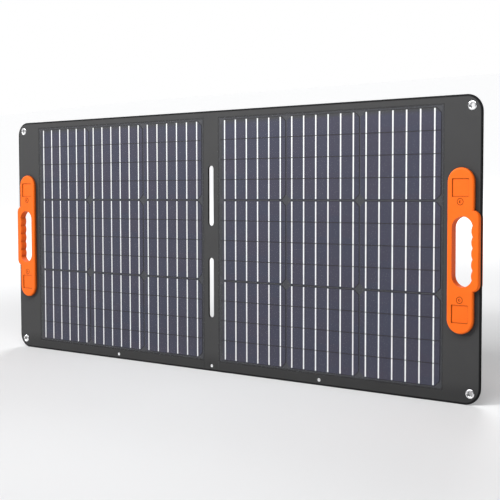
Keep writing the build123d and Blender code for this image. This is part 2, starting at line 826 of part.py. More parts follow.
def zip_slider():
    """Slider and its pull tab, on the closed end of the zip."""
    front = -THICK - POCKET_T - ZIP_T - SLIDER_GAP
    back = front - SLIDER_T
    u = POCKET_U - ZIP_L / 2 + SLIDER_L / 2 + SLIDER_START
    with BuildPart() as piece:
        with BuildSketch(FACE.offset(back)):
            add(rectangle(u, zip_v(), SLIDER_L, SLIDER_W, SLIDER_R))
        extrude(amount=SLIDER_T)
        with BuildSketch(FACE.offset(back - TAB_T)):
            add(rectangle(u, zip_v() - TAB_DOWN, TAB_W, TAB_L, TAB_R))
            with Locations((u, zip_v() - TAB_SLOT_DOWN)):
                SlotOverall(*TAB_SLOT, rotation=90, mode=Mode.SUBTRACT)
        extrude(amount=TAB_T + TAB_SINK)
    return piece


# ---------------------------------------------------------------- write every piece
os.makedirs("parts", exist_ok=True)
SIDES = {"left": -1, "right": 1}

for word, sign in SIDES.items():
    save(skin(sign, -SKIN, 0.0, LIP_MID, LIP_MID + LIP_T, True), f"front_skin_{word}")
    save(skin(sign, -THICK, -THICK + SKIN, LIP_MID - LIP_T, LIP_MID, False), f"back_skin_{word}")
    save(slab(window(sign, FILM_MARGIN), 0.0, FILM_T), f"cover_film_{word}")
    save(cells(sign), f"cells_{word}")
    save(ribbons(sign), f"ribbons_{word}")
    save(bus_bars(sign), f"bus_bars_{word}")
    backsheet = window(sign, WINDOW_MARGIN - TOUCH)
    save(slab(backsheet, -SKIN + BUS_T, CELL_TOP_W - CELL_T), f"backsheet_{word}")
    board = half(sign, BINDING_W, THICK_FROM + SKIN) - layer_holes(sign)
    save(slab(board, -THICK + SKIN, -SKIN), f"stiffener_board_{word}")
    save(edge_binding(sign), f"edge_binding_{word}")
    save(
        eyelets(
            corner_spots(sign), GROMMET_HOLE_R, GROMMET_WALL, GROMMET_R, GROMMET_DOME,
            -THICK - WASHER_T, 0.0,
        ),
        f"corner_grommets_{word}",
    )
    save(
        washers(
            corner_spots(sign), GROMMET_HOLE_R + GROMMET_WALL + TOUCH, GROMMET_R,
            -THICK - WASHER_T, -THICK,
        ),
        f"grommet_washers_{word}",
    )
    save(
        eyelets(
            [(sign * EYELET_U, EYELET_V)], EYELET_HOLE_R, EYELET_WALL, EYELET_R, EYELET_DOME,
            -THICK - EYELET_CURL, 0.0,
        ),
        f"small_eyelet_{word}",
    )
    save(handle_front(sign), f"handle_front_{word}")
    save(handle_back(sign), f"handle_back_{word}")
    save(handle_magnets(sign), f"handle_magnets_{word}")
    save(handle_screws(sign), f"handle_screws_{word}")
    save(kickstand_board(sign), f"kickstand_board_{word}")
    save(kickstand_cover(sign), f"kickstand_cover_{word}")
    save(kickstand_foot(sign), f"kickstand_foot_{word}")
    save(hinge_strip(sign), f"kickstand_hinge_strip_{word}")
    save(kickstand_strap(sign), f"kickstand_strap_{word}")
    save(strap_anchor(sign), f"strap_anchor_{word}")
    save(hook_patch(sign), f"hook_patch_{word}")
    save(loop_patch(sign), f"loop_patch_{word}")

save(spine_skin(LIP_MID, LIP_MID + LIP_T, True), "spine_front_skin")
save(spine_skin(LIP_MID - LIP_T, LIP_MID, False), "spine_back_skin")
save(
    eyelets(
        [(0, EYELET_V)], EYELET_HOLE_R, EYELET_WALL, EYELET_R, EYELET_DOME,
        LIP_MID - LIP_T - EYELET_CURL, LIP_MID + LIP_T,
    ),
    "spine_eyelet",
)
save(junction_box_base(), "junction_box_base")
save(junction_box_lid(), "junction_box_lid")
save(junction_box_screws(), "junction_box_screws")
save(circuit_board(), "circuit_board")
save(output_gland(), "output_gland")
save(cable_pocket(), "cable_pocket")
save(zip_track(), "zip_track")
save(zip_slider(), "zip_slider")
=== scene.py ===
"""Looks of the two-fold solar panel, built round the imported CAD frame.

Most pieces are drawn in the panel's own coordinates, in millimetres: u to the right of the
spine, v up from the bottom edge, w out of the front face, which leans back with the panel.
"""

import json
from itertools import product
from math import cos, hypot, pi, radians, sin

import bpy
import numpy as np
from mathutils import Matrix, Vector, geometry


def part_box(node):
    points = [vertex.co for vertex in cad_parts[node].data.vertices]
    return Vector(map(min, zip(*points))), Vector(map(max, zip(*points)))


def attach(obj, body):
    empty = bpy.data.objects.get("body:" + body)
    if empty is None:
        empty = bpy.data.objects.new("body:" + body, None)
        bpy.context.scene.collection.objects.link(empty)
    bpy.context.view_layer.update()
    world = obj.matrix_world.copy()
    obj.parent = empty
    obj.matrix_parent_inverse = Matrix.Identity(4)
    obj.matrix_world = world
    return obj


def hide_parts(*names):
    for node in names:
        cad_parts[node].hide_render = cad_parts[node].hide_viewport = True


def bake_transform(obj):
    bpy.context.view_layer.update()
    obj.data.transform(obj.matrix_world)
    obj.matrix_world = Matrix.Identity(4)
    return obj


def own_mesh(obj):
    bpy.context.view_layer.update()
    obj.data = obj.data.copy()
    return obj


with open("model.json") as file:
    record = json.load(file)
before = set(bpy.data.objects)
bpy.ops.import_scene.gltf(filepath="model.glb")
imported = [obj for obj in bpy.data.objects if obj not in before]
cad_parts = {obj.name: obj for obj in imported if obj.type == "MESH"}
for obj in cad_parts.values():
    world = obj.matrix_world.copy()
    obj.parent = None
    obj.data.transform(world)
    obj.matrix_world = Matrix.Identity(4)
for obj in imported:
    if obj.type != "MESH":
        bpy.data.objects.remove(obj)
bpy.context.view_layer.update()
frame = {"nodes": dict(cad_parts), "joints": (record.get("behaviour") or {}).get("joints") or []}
MM = 0.001
SIDES = {"left": -1, "right": 1}

# ------ sizes, in millimetres
PANEL_W, PANEL_H, THICK = 1220.0, 540.0, 5.0
CORNER_R = 31.0
BINDING_W = 3.0
LINING_T = 0.7
MIDDLE_W = -THICK / 2
SKIN = 1.2
SPINE_THICK_FROM, SPINE_THIN_FROM = 19.8, 18.0
SPINE_SHARE = 0.84
BOARD_FROM, BOARD_FULL = 19.0, 20.4
CLAMP_SHARE, CLAMP_FROM, CLAMP_TO = 0.4, 3.3, 7.0
SLOT_L, SLOT_W, SLOT_MID_V, SLOT_RISE = 126.0, 15.0, 269.8, 95.4
CELL_W, CELL_H = 167.6, 163.5
COLUMN_PITCH, ROW_PITCH, CELLS_BOTTOM = 169.4, 165.5, 26.2
COLUMNS, ROWS = 3, 3
BLOCK_LEFT = {"left": -530.7, "right": 25.3}
BLOCK_W = (COLUMNS - 1) * COLUMN_PITCH + CELL_W
BLOCK_H = (ROWS - 1) * ROW_PITCH + CELL_H
STRIPS, RIBBONS = 4, 6
STRIP_H = CELL_H / STRIPS
# Widths of the dark seam between strips and of the painted shadow line at a cell's right side
STRIP_EDGE, PAINTED_SHADOW_W, EDGE_BLUR, CHAMFER, FINGER_PITCH = 0.75, 1.2, 0.25, 9.75, 1.6
STRIP_END, CELL_END = 0.65, 1.6
RIBBON_W, RIBBON_FIRST, RIBBON_PITCH, RIBBON_TAPER = 2.9, 12.3, 28.3, 0.5
WINDOW_MARGIN, LAP_W, PRESS_DEEP = 3.0, 7.0, 0.42
FADE_LEFT, FADE_TOP = 14.0, 12.0
# Band, up from the bottom edge, over which the front cloth's painted shade fades out
LOW_SHADE_FROM, LOW_SHADE_TO = 14.0, 45.0
GROMMET_INSET, GROMMET_CUT_R = 20.0, 5.6
EYELET_U, EYELET_V, EYELET_CUT_R = 272.0, 10.6, 2.4
GRIP_U, GRIP_V, GRIP_W, GRIP_L = 576.6, 267.5, 43.4, 126.4
STAND_U, STAND_W, STAND_T, STAND_HINGE_V = 305.0, 220.0, 3.8, 430.0
SLEEVE_END, SLEEVE_SEAM, STITCH_SUNK = 414.3, 8.0, 0.55
HINGE_CLOTH_T, HINGE_CLOTH_L, HINGE_CLOTH_IN = 1.0, 47.0, 4.0
STRAP_W, STRAP_T, STRAP_DOWN, STRAP_END_W = 22.0, 1.2, 250.0, -73.7
STRAP_SAG, STRAP_CURL = 1.6, 0.25
ANCHOR_W, ANCHOR_H = 34.0, 26.0
PATCH_W, PATCH_T, PATCH_DOWN = 34.0, 1.6, 385.0
POCKET_U, POCKET_V, POCKET_W, POCKET_H, POCKET_T = -112.0, 140.0, 140.0, 190.0, 12.0
POCKET_R, POCKET_CAP, POCKET_SEAM, POCKET_SLOPE = 16.0, 5.0, 4.6, 12.0
POCKET_LEFT, POCKET_LOW = POCKET_U - POCKET_W / 2, POCKET_V - POCKET_H / 2
POCKET_BASE = -THICK + 0.02
ZIP_L, ZIP_W, TOOTH_PITCH = 116.0, 16.0, 1.5
ZIP_V, ZIP_FRONT = POCKET_V + POCKET_H / 2 - 26.0, -THICK - POCKET_T

# ------ colours
CELL_BLUE, CELL_GREY = (0.047, 0.051, 0.081), (0.054, 0.050, 0.077)
EDGE_GREY = (0.047, 0.048, 0.050)
FLOOR_GREY = (0.77, 0.77, 0.775)
FILM_TINT = (0.045, 0.047, 0.054)

# ------ the panel's own frame
joints = {joint["name"]: joint for joint in frame["joints"]}
ACROSS = Vector((1, 0, 0))
UP = -Vector(joints["right_crease"]["axis"]).normalized()
OUT = ACROSS.cross(UP)
creases = [Vector(joints[name]["pos_m"]) for name in ("left_crease", "right_crease")]
ORIGIN = sum(creases, Vector()) / 2 - UP * (PANEL_H / 2 * MM) - OUT * (MIDDLE_W * MM)


def basis(x, y, z, origin):
    """Matrix that takes coordinates along x, y and z from an origin to the row frame."""
    matrix = Matrix((x, y, z)).transposed().to_4x4()
    matrix.translation = origin
    return matrix


FACE = basis(ACROSS, UP, OUT, ORIGIN)


def at(u, v, w=0.0):
    """Point of the row frame, in metres, at panel coordinates."""
    return FACE @ Vector((u * MM, v * MM, w * MM))


def stand_frame(side):
    """Mid-plane of an open kickstand: y runs up it to the hinge line, z faces the panel."""
    hinge = Vector(joints[f"{side}_kickstand_hinge"]["pos_m"])
    low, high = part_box(f"kickstand_foot_{side}")
    toe = Vector((hinge.x, (low[1] + high[1]) / 2, (low[2] + high[2]) / 2))
    up = (hinge - toe).normalized()
    return basis(ACROSS, up, ACROSS.cross(up), hinge)


# ------ materials
def feed(tree, socket, source):
    """Link a source to a socket, or set the socket to a constant."""
    if isinstance(source, bpy.types.NodeSocket):
        tree.links.new(source, socket)
    else:
        socket.default_value = source


def add_node(tree, kind, *sources, **values):
    """A new node: sources feed its first inputs, and capitalised values its named ones."""
    node = tree.nodes.new("ShaderNode" + kind)
    sockets = dict(enumerate(sources))
    for key, value in values.items():
        if key[0].isupper():
            sockets[key] = value
        else:
            setattr(node, key, value)
    for key, source in sockets.items():
        feed(tree, node.inputs[key], source)
    return node


class Stuff:
    """A procedural material: a Principled shader and small helpers to wire nodes to it.

    u, v and w are the coordinates of the panel's face in metres, and spot is all three.
    """

    def __init__(self, name, color, roughness, **sockets):
        self.material = bpy.data.materials.new(name)
        self.material.use_nodes = True
        self.tree = self.material.node_tree
        self.shader = self.tree.nodes["Principled BSDF"]
        self.color = color
        flat, place = FACE.inverted(), self.node("TexCoord").outputs["Object"]
        turn = self.node("Mapping", place, Location=flat.translation, Rotation=flat.to_euler())
        self.spot = turn.outputs[0]
        self.u, self.v, self.w = self.node("SeparateXYZ", self.spot).outputs
        self.feed("Base Color", (*color, 1))
        self.feed("Roughness", roughness)
        for socket, value in sockets.items():
            self.feed(socket.replace("_", " "), value)

    def feed(self, socket, source):
        feed(self.tree, self.shader.inputs[socket], source)

    def node(self, kind, *sources, **values):
        return add_node(self.tree, kind, *sources, **values)

    def math(self, operation, *terms):
        return self.node("Math", *terms, operation=operation).outputs[0]

    def ramp(self, factor, start, stop, low=0.0, high=1.0, kind="LINEAR"):
        """A value carried from the range start to stop onto the range low to high."""
        node = self.node("MapRange", factor, start, stop, low, high, interpolation_type=kind)
        return node.outputs[0]

    def wave(self, along, pitch):
        """Sine along a coordinate, with its pitch in millimetres."""
        return self.math("SINE", self.math("MULTIPLY", along, 2 * pi / (pitch * MM)))

    def mix(self, factor, first, second):
        """Colour between two colours."""
        node = self.node("Mix", data_type="RGBA", Factor=factor, A=first, B=second)
        return node.outputs["Result"]

    def noise(self, scale, detail, rough=0.5):
        node = self.node("TexNoise", self.spot, Scale=scale, Detail=detail, Roughness=rough)
        return node.outputs["Fac"]

    def tint(self, color, share):
        """Base colour: a colour times a share."""
        scaled = self.node("VectorMath", color, operation="SCALE", Scale=share)
        self.feed("Base Color", scaled.outputs[0])

    def darken(self, share):
        """Multiply the base colour there is by a share."""
        self.tint(self.shader.inputs["Base Color"].links[0].from_socket, share)

    def blotch(self, factor, dark, light):
        """Base colour that runs from dark to light times the material's own colour."""
        self.tint(self.color, self.ramp(factor, 0.3, 0.7, dark, light))

    def painted_corner_shade(self, reach, dark):
        """Painted shade: base colour that sinks to a darker share of itself in corners, grooves and
        next to other parts.
        """
        open_sky = self.node("AmbientOcclusion", samples=8, Distance=reach * MM)
        self.darken(self.ramp(open_sky.outputs["AO"], 0.35, 0.85, dark))

    def bump(self, height, distance, strength=1.0):
        bump = self.node("Bump", Strength=strength, Distance=distance * MM, Height=height)
        self.feed("Normal", bump.outputs[0])

    def rough(self, factor, low, high):
        self.feed("Roughness", self.ramp(factor, 0.0, 1.0, low, high))


def woven(name, color, pitch, depth, roughness=0.78, sheen=0.25, contrast=0.12, painted_low_shade=None):
    """Plain-weave cloth: crossing threads of one pitch, uneven in shade and height."""
    stuff = Stuff(name, color, roughness, Sheen_Weight=sheen, Sheen_Roughness=0.5,
                  Specular_IOR_Level=0.2)
    cross = stuff.math("MULTIPLY", stuff.wave(stuff.u, pitch), stuff.wave(stuff.v, pitch))
    fine = stuff.noise(900.0, 2.0)
    stuff.bump(stuff.math("ADD", stuff.math("MULTIPLY", cross, 0.5), fine), depth)
    patch = stuff.noise(16.0, 3.0)
    thread = stuff.math("MULTIPLY", cross, contrast)
    stuff.blotch(stuff.math("ADD", patch, thread), 1 - contrast, 1 + contrast)
    # Painted shade: the cloth's colour darkens towards the bottom edge, near the floor
    if painted_low_shade:
        stuff.darken(stuff.ramp(stuff.v, LOW_SHADE_FROM * MM, LOW_SHADE_TO * MM, painted_low_shade,
                                kind="SMOOTHSTEP"))
    stuff.rough(patch, roughness - 0.06, roughness + 0.06)
    return stuff.material


def seam_and_shadow_lines(stuff, side):
    """Distance in metres from the nearest dark line on a cell, less the line's width: the seams
    between strips, and a painted shadow line along the cell's right side and its right-hand chamfers.
    """
    math = stuff.math
    along = math("MODULO", math("SUBTRACT", stuff.u, BLOCK_LEFT[side] * MM), COLUMN_PITCH * MM)
    up = math("MODULO", math("SUBTRACT", stuff.v, CELLS_BOTTOM * MM), ROW_PITCH * MM)
    from_seam = math("SUBTRACT", math("PINGPONG", up, STRIP_H * MM / 2), STRIP_EDGE * MM)
    # Painted shadow: a dark line along the right side of each cell, and along its right-hand chamfers
    # below
    from_side = math("SUBTRACT", (CELL_W - PAINTED_SHADOW_W) * MM, along)
    corner = math("MINIMUM", up, math("SUBTRACT", CELL_H * MM, up))
    past = math("ADD", math("SUBTRACT", (CELL_W - CHAMFER) * MM, along), corner)
    from_corner = math("SUBTRACT", math("MULTIPLY", past, 0.7071), PAINTED_SHADOW_W * MM)
    return math("MINIMUM", math("MINIMUM", from_seam, from_side), from_corner)


def cell_tone(stuff, side, mottle):
    """Cell colour: differs from bay to bay and strip to strip, greyer at the left and top."""
    math = stuff.math
    first = (BLOCK_LEFT[side] + RIBBON_FIRST) * MM
    bay = math("FLOOR", math("DIVIDE", math("SUBTRACT", stuff.u, first), RIBBON_PITCH * MM))
    row = math("FLOOR", math("DIVIDE", stuff.v, STRIP_H * MM))
    spot = stuff.node("CombineXYZ", bay, row).outputs[0]
    tone = stuff.node("TexWhiteNoise", spot, noise_dimensions="2D").outputs["Value"]
    share = math("ADD", math("MULTIPLY", tone, 0.75), math("MULTIPLY", mottle, 0.25))
    inward = math("SUBTRACT", stuff.u, BLOCK_LEFT[side] * MM)
    below = math("SUBTRACT", (CELLS_BOTTOM + BLOCK_H) * MM, stuff.v)
    near_left = stuff.ramp(inward, 0.0, FADE_LEFT * MM, kind="SMOOTHSTEP")
    near_top = stuff.ramp(below, 0.0, FADE_TOP * MM, kind="SMOOTHSTEP")
    silicon = stuff.mix(share, (*CELL_BLUE, 1), (*CELL_GREY, 1))
    return stuff.mix(math("MULTIPLY", near_left, near_top), (*EDGE_GREY, 1), silicon)


def solar_cell(side):
    """Dark silicon with fine fingers across it, dark seams between strips and a painted shadow line
    along each cell's right side and right-hand chamfers.
    """
    stuff = Stuff(f"solar_cell_{side}", CELL_BLUE, 0.5, Specular_IOR_Level=0.3)
    mottle = stuff.noise(35.0, 4.0)
    clear = stuff.ramp(seam_and_shadow_lines(stuff, side), 0.0, EDGE_BLUR * MM)
    fingers = stuff.wave(stuff.v, FINGER_PITCH)
    shade = stuff.math("MULTIPLY", stuff.math("MULTIPLY_ADD", fingers, 0.05, 1.0),
                       stuff.math("MULTIPLY_ADD", clear, 0.9, 0.1))
    stuff.tint(cell_tone(stuff, side, mottle), shade)
    stuff.bump(fingers, 0.01, 0.3)
    stuff.rough(mottle, 0.38, 0.5)
    return stuff.material


def moulded(name, color, roughness, grain=0.06, grain_scale=2200.0, painted_corner_shades=(), **sockets):
    """Moulded plastic or rubber: a fine spark-eroded grain, a little handling wear and, when asked
    for, painted shade in corners and recesses.
    """
    stuff = Stuff(name, color, roughness, **sockets)
    fine = stuff.noise(grain_scale, 3.0, 0.6)
    broad = stuff.noise(22.0, 3.0)
    stuff.bump(fine, grain)
    stuff.blotch(broad, 0.96, 1.03)
    # Painted shade: each entry darkens the colour where the surface is hemmed in within its reach
    for reach, dark in painted_corner_shades:
        stuff.painted_corner_shade(reach, dark)
    worn = stuff.math("MULTIPLY_ADD", broad, 0.6, stuff.math("MULTIPLY", fine, 0.4))
    stuff.rough(worn, roughness - 0.07, roughness + 0.07)
    return stuff.material


def metal(name, color, roughness, scratch=600.0, painted_corner_shade=(4.0, 0.3)):
    """Plated metal with fine uneven scratches and painted shade in its corners and holes."""
    stuff = Stuff(name, color, roughness, Metallic=1.0)
    fine = stuff.noise(scratch, 4.0, 0.7)
    stuff.blotch(fine, 0.94, 1.02)
    stuff.painted_corner_shade(*painted_corner_shade)
    stuff.rough(fine, roughness - 0.08, roughness + 0.1)
    stuff.bump(fine, 0.02, 0.5)
    return stuff.material


def clear_film(side):
    """Satin film: almost clear over the cells, hazy where it laps onto the cloth round them."""
    stuff = Stuff(f"clear_film_{side}", FILM_TINT, 0.5, IOR=1.42, Specular_IOR_Level=0.2)
    math = stuff.math
    beyond = []
    spans = ((stuff.u, BLOCK_LEFT[side], BLOCK_W), (stuff.v, CELLS_BOTTOM, BLOCK_H))
    for along, low, size in spans:
        from_middle = math("ABSOLUTE", math("SUBTRACT", along, (low + size / 2) * MM))
        beyond.append(math("SUBTRACT", from_middle, size / 2 * MM))
    stuff.feed("Alpha", stuff.ramp(math("MAXIMUM", *beyond), 0.0, 1.0 * MM, 0.03, 0.1))
    stuff.bump(stuff.noise(420.0, 2.0), 0.01, 0.3)
    stuff.rough(stuff.noise(40.0, 3.0), 0.42, 0.55)
    return stuff.material


def webbing(name, color, pitch=1.6):
    """Flat woven webbing with diagonal ribs."""
    stuff = Stuff(name, color, 0.75, Sheen_Weight=0.3, Sheen_Roughness=0.45)
    rise = stuff.math("ADD", stuff.v, stuff.w)
    ribs = stuff.math("MULTIPLY", stuff.wave(stuff.math("ADD", stuff.u, rise), pitch),
                      stuff.wave(stuff.math("SUBTRACT", stuff.u, rise), pitch))
    stuff.bump(ribs, 0.25)
    patch = stuff.noise(120.0, 2.0)
    stuff.blotch(stuff.math("ADD", patch, stuff.math("MULTIPLY", ribs, 0.15)), 0.75, 1.25)
    return stuff.material


def hook_and_loop():
    """Napped fastener tape."""
    stuff = Stuff("hook_and_loop", (0.018, 0.018, 0.019), 0.95, Sheen_Weight=0.8,
                  Sheen_Roughness=0.6)
    nap = stuff.noise(1600.0, 4.0, 0.75)
    stuff.bump(nap, 0.6)
    stuff.blotch(nap, 0.5, 1.6)
    return stuff.material


# The front cloth carries painted shade that darkens it towards the bottom edge
FRONT_CLOTH = woven("front_cloth", (0.044, 0.044, 0.0445), 0.8, 0.05, 0.62, 0.1, 0.05, painted_low_shade=0.64)
REAR_CLOTH = woven("rear_cloth", (0.052, 0.052, 0.056), 1.8, 0.35, 0.8, 0.35, 0.26)
POCKET_CLOTH = woven("pocket_cloth", (0.044, 0.044, 0.048), 1.6, 0.3, 0.78, 0.35, 0.24)
TAPE = woven("binding_tape", (0.006, 0.006, 0.0065), 0.7, 0.12, 0.75, 0.0, 0.12)
WEBBING = webbing("strap_webbing", (0.02, 0.02, 0.021))
THREAD = woven("thread", (0.16, 0.16, 0.165), 0.35, 0.1, 0.6, 0.3, 0.2)
# Orange plastic with painted shade: dark lines in its small recesses and, over a long reach, darker
# hand-hole walls and edges next to the cloth
ORANGE = moulded("orange_plastic", (0.96, 0.155, 0.008), 0.5, 0.03,
                 painted_corner_shades=((2.5, 0.5), (60.0, 0.1)), Specular_IOR_Level=0.2)
BLACK_PLASTIC = moulded("black_plastic", (0.022, 0.022, 0.024), 0.5, 0.1, 1400.0)
RUBBER = moulded("foot_rubber", (0.014, 0.014, 0.015), 0.8, 0.15, 900.0)
SHEET_PLASTIC = moulded("stiff_sheet", (0.05, 0.05, 0.05), 0.7, 0.05)
BACKSHEET = moulded("backsheet", (0.046, 0.047, 0.054), 0.5, 0.02, 1500.0)
TINNED = moulded("tinned_ribbon", (0.97, 0.98, 0.97), 0.35, 0.01, Metallic=0.1)
# Bright metal with painted shade that darkens the grommets in their holes and where they meet the
# cloth
NICKEL = metal("bright_metal", (0.92, 0.92, 0.93), 0.2, painted_corner_shade=(9.0, 0.08))
EYELET_METAL = moulded("eyelet_metal", (0.97, 0.97, 0.975), 0.4, 0.01, Metallic=0.3)
DARK_STEEL = metal("screw_steel", (0.22, 0.22, 0.23), 0.35)
MAGNET = metal("magnet", (0.6, 0.6, 0.62), 0.3)
BOARD_GREEN = moulded("circuit_board", (0.01, 0.09, 0.035), 0.45, 0.02)
NAP = hook_and_loop()

# ------ camera, floor and light
CAMERA_AT = (1420.3, 368.3, 1668.0)
CAMERA_RIGHT = Vector((0.78489, -0.00209, -0.61963))
CAMERA_UP = Vector((-0.03104, 0.99861, -0.04270))
LENS = 76.1
FLOOR_REACH = 30000.0
GLOW_FROM, GLOW_TO, GLOW = 0.8, 2.2, 0.6
FILL_LEFT, FILL_RIGHT = 0.42, 0.12
SUN_TOWARD, SUN_SPREAD, SUN_POWER = Vector((1.0, 0.8, -0.7)), 8.0, 1.35


def show(name, data):
    """A new object in the scene."""
    thing = bpy.data.objects.new(name, data)
    bpy.context.collection.objects.link(thing)
    return thing


def stand_camera():
    """The camera, placed relative to the panel's front face."""
    camera = show("camera", bpy.data.cameras.new("camera"))
    back = CAMERA_RIGHT.cross(CAMERA_UP)
    turn = FACE.to_3x3() @ Matrix((CAMERA_RIGHT, CAMERA_UP, back)).transposed()
    camera.matrix_world = Matrix.LocRotScale(at(*CAMERA_AT), turn.to_quaternion(), None)
    camera.data.lens = LENS
    bpy.context.scene.camera = camera


def light_world():
    """Surroundings: white where the camera sees them, and a fill that is weaker on the right."""
    world = bpy.data.worlds.new("studio")
    world.use_nodes = True
    bpy.context.scene.world = world
    tree = world.node_tree
    tree.nodes.clear()
    toward = add_node(tree, "TexCoord").outputs["Generated"]
    across = add_node(tree, "SeparateXYZ", toward).outputs["X"]
    fall = add_node(tree, "MapRange", across, -0.6, 0.8, FILL_LEFT, FILL_RIGHT).outputs[0]
    fill = add_node(tree, "Background", (0.97, 0.985, 1, 1), fall).outputs[0]
    seen = add_node(tree, "Background", (1, 1, 1, 1)).outputs[0]
    to_camera = add_node(tree, "LightPath").outputs["Is Camera Ray"]
    mixed = add_node(tree, "MixShader", to_camera, fill, seen).outputs[0]
    add_node(tree, "OutputWorld", mixed)


def lamp(name, kind, power, toward, place=(0, 0, 0)):
    """A light at a place that shines in a direction."""
    light = bpy.data.lights.new(name, kind)
    light.energy = power
    stand = show(name, light)
    stand.location = place
    stand.rotation_euler = toward.to_track_quat("-Z", "Y").to_euler()
    return light


def softbox(name, place, target, size, power):
    """A rectangular area light at a place, facing a target."""
    light = lamp(name, "AREA", power, Vector(target) - Vector(place), place)
    light.shape = "RECTANGLE"
    light.size, light.size_y = size


def light_studio():
    """Soft light from above and behind, and a broad sun from the front left."""
    light_world()
    softbox("key", (0.0, -0.62, 1.42), (0.0, -0.1, 0.4), (2.2, 0.5), 19)
    softbox("rear", (-0.6, 1.8, 1.8), (0.0, 0.0, 0.2), (1.5, 1.5), 30)
    window = lamp("window", "SUN", SUN_POWER, SUN_TOWARD)
    window.angle = radians(SUN_SPREAD)
    bpy.context.scene.view_settings.view_transform = "Standard"


def lay_floor():
    """A wide pale floor with painted light: it glows more and more away from the object, up to white.
    """
    stuff = Stuff("floor", FLOOR_GREY, 0.65, Emission_Color=(1, 1, 1, 1))
    spot = stuff.node("TexCoord").outputs["Object"]
    away = stuff.node("VectorMath", spot, operation="LENGTH").outputs["Value"]
    glow = stuff.ramp(away, GLOW_FROM, GLOW_TO, 0.0, GLOW, "SMOOTHSTEP")
    stuff.feed("Emission Strength", glow)
    corners = [(x * FLOOR_REACH, y * FLOOR_REACH, 0) for x, y in ((-1, -1), (1, -1), (1, 1), (-1, 1))]
    put("floor", corners, [(0, 1, 2, 3)], stuff.material, Matrix())


# ------ flat outlines
def arc(centre, radius, start, stop, steps=8):
    """Points along an arc, angles in degrees."""
    angles = [radians(start + (stop - start) * i / steps) for i in range(steps + 1)]
    return [(centre[0] + radius * cos(a), centre[1] + radius * sin(a)) for a in angles]


def circle(centre, radius, steps=20):
    return arc(centre, radius, 0, 360, steps)[:-1]


def stadium(centre, width, length, steps=14):
    """A slot outline, long upwards."""
    r, rise = width / 2, (length - width) / 2
    u, v = centre
    return arc((u, v + rise), r, 0, 180, steps) + arc((u, v - rise), r, 180, 360, steps)


def rounded(u, v, width, height, radius, steps=6):
    """A rounded rectangle outline centred at (u, v)."""
    a, b = width / 2 - radius, height / 2 - radius
    spots = ((1, 1, 0), (-1, 1, 90), (-1, -1, 180), (1, -1, 270))
    return [p for su, sv, turn in spots
            for p in arc((u + su * a, v + sv * b), radius, turn, turn + 90, steps)]


def half_outline(inset, from_u):
    """Outline of the right half of the panel, inset all round, from the spine outwards."""
    u, top, low = PANEL_W / 2 - inset, PANEL_H - inset, inset
    r = CORNER_R - inset
    bottom = [(from_u, low)] + arc((u - r, low + r), r, 270, 360)
    return bottom + arc((u - r, top - r), r, 0, 90) + [(from_u, top)]


def ring_line(loop):
    """A closed outline as one polyline."""
    return list(loop) + [loop[0]]


def dense(loop, step):
    """The loop with its long edges divided."""
    out = []
    for (a, b), (c, d) in zip(loop, loop[1:] + loop[:1]):
        parts = max(1, int(hypot(c - a, d - b) / step))
        out += [(a + (c - a) * i / parts, b + (d - b) * i / parts) for i in range(parts)]
    return out


def inside(points, loops):
    """Even-odd test of many points against closed loops."""
    hit = np.zeros(len(points), bool)
    x, y = points[:, 0], points[:, 1]
    for loop in loops:
        a = np.array(loop)
        b = np.roll(a, -1, axis=0)
        for (ax, ay), (bx, by) in zip(a, b):
            if ay == by:
                continue
            crosses = (ay > y) != (by > y)
            hit ^= crosses & (x < (bx - ax) * (y - ay) / (by - ay) + ax)
    return hit


def near_edges(points, loops, reach):
    """Which points lie within reach of a loop's own points."""
    close = np.zeros(len(points), bool)
    for loop in loops:
        for edge in np.array_split(np.array(loop), max(1, len(loop) // 64)):
            gap = np.linalg.norm(points[:, None] - edge[None], axis=2)
            close |= gap.min(axis=1) < reach
    return close


def triangulate(loops, us, vs, step=6.0):
    """Flat triangulation of an outline with holes, with inner points on a grid."""
    loops = [dense(loop, step) for loop in loops]
    grid = np.array([(u, v) for u in us for v in vs], float)
    grid = grid[inside(grid, loops)]
    grid = grid[~near_edges(grid, loops, 1.4)]
    points, edges = [], []
    for loop in loops:
        first = len(points)
        points += loop
        edges += [(first + i, first + (i + 1) % len(loop)) for i in range(len(loop))]
    points += [tuple(p) for p in grid]
    found = geometry.delaunay_2d_cdt([Vector(p) for p in points], edges, [], 1, 1e-5)
    flat, triangles = [tuple(p) for p in found[0]], found[2]
    centres = np.array([np.mean([flat[i] for i in t], axis=0) for t in triangles])
    keep = inside(centres, loops)
    return flat, [t for t, kept in zip(triangles, keep) if kept]


def flat_area(flat, triangles):
    """Area of a flat triangulation, in square metres."""
    corners = np.array([[flat[i] for i in t] for t in triangles])
    one, two = corners[:, 1] - corners[:, 0], corners[:, 2] - corners[:, 0]
    return abs(one[:, 0] * two[:, 1] - one[:, 1] * two[:, 0]).sum() / 2 * MM * MM


# ------ solids
def put(name, points, faces, material, matrix=FACE, smooth=40.0):
    """A mesh object from points in millimetres in a frame, with smooth shading up to an angle."""
    mesh = bpy.data.meshes.new(name)
    mesh.from_pydata([tuple(c * MM for c in point) for point in points], [], faces)
    mesh.transform(matrix)
    mesh.validate()
    mesh.update()
    mesh.materials.append(material)
    mesh.shade_smooth()
    mesh.set_sharp_from_angle(angle=radians(smooth))
    return show(name, mesh)


def fit(name, points, faces, material, body, slot, *nodes, matrix=FACE, smooth=40.0):
    """A piece that rides on a body, in its given material, and may stand for CAD nodes; slot is not
    used.
    """
    piece = put(name, points, faces, material, matrix, smooth)
    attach(piece, body)
    if nodes:
        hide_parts(*nodes)
    return piece


def flipped(faces):
    return [tuple(reversed(face)) for face in faces]


def join(parts):
    """Several lots of points and faces as one."""
    points, faces = [], []
    for some, more in parts:
        faces += [tuple(i + len(points) for i in face) for face in more]
        points += some
    return points, faces


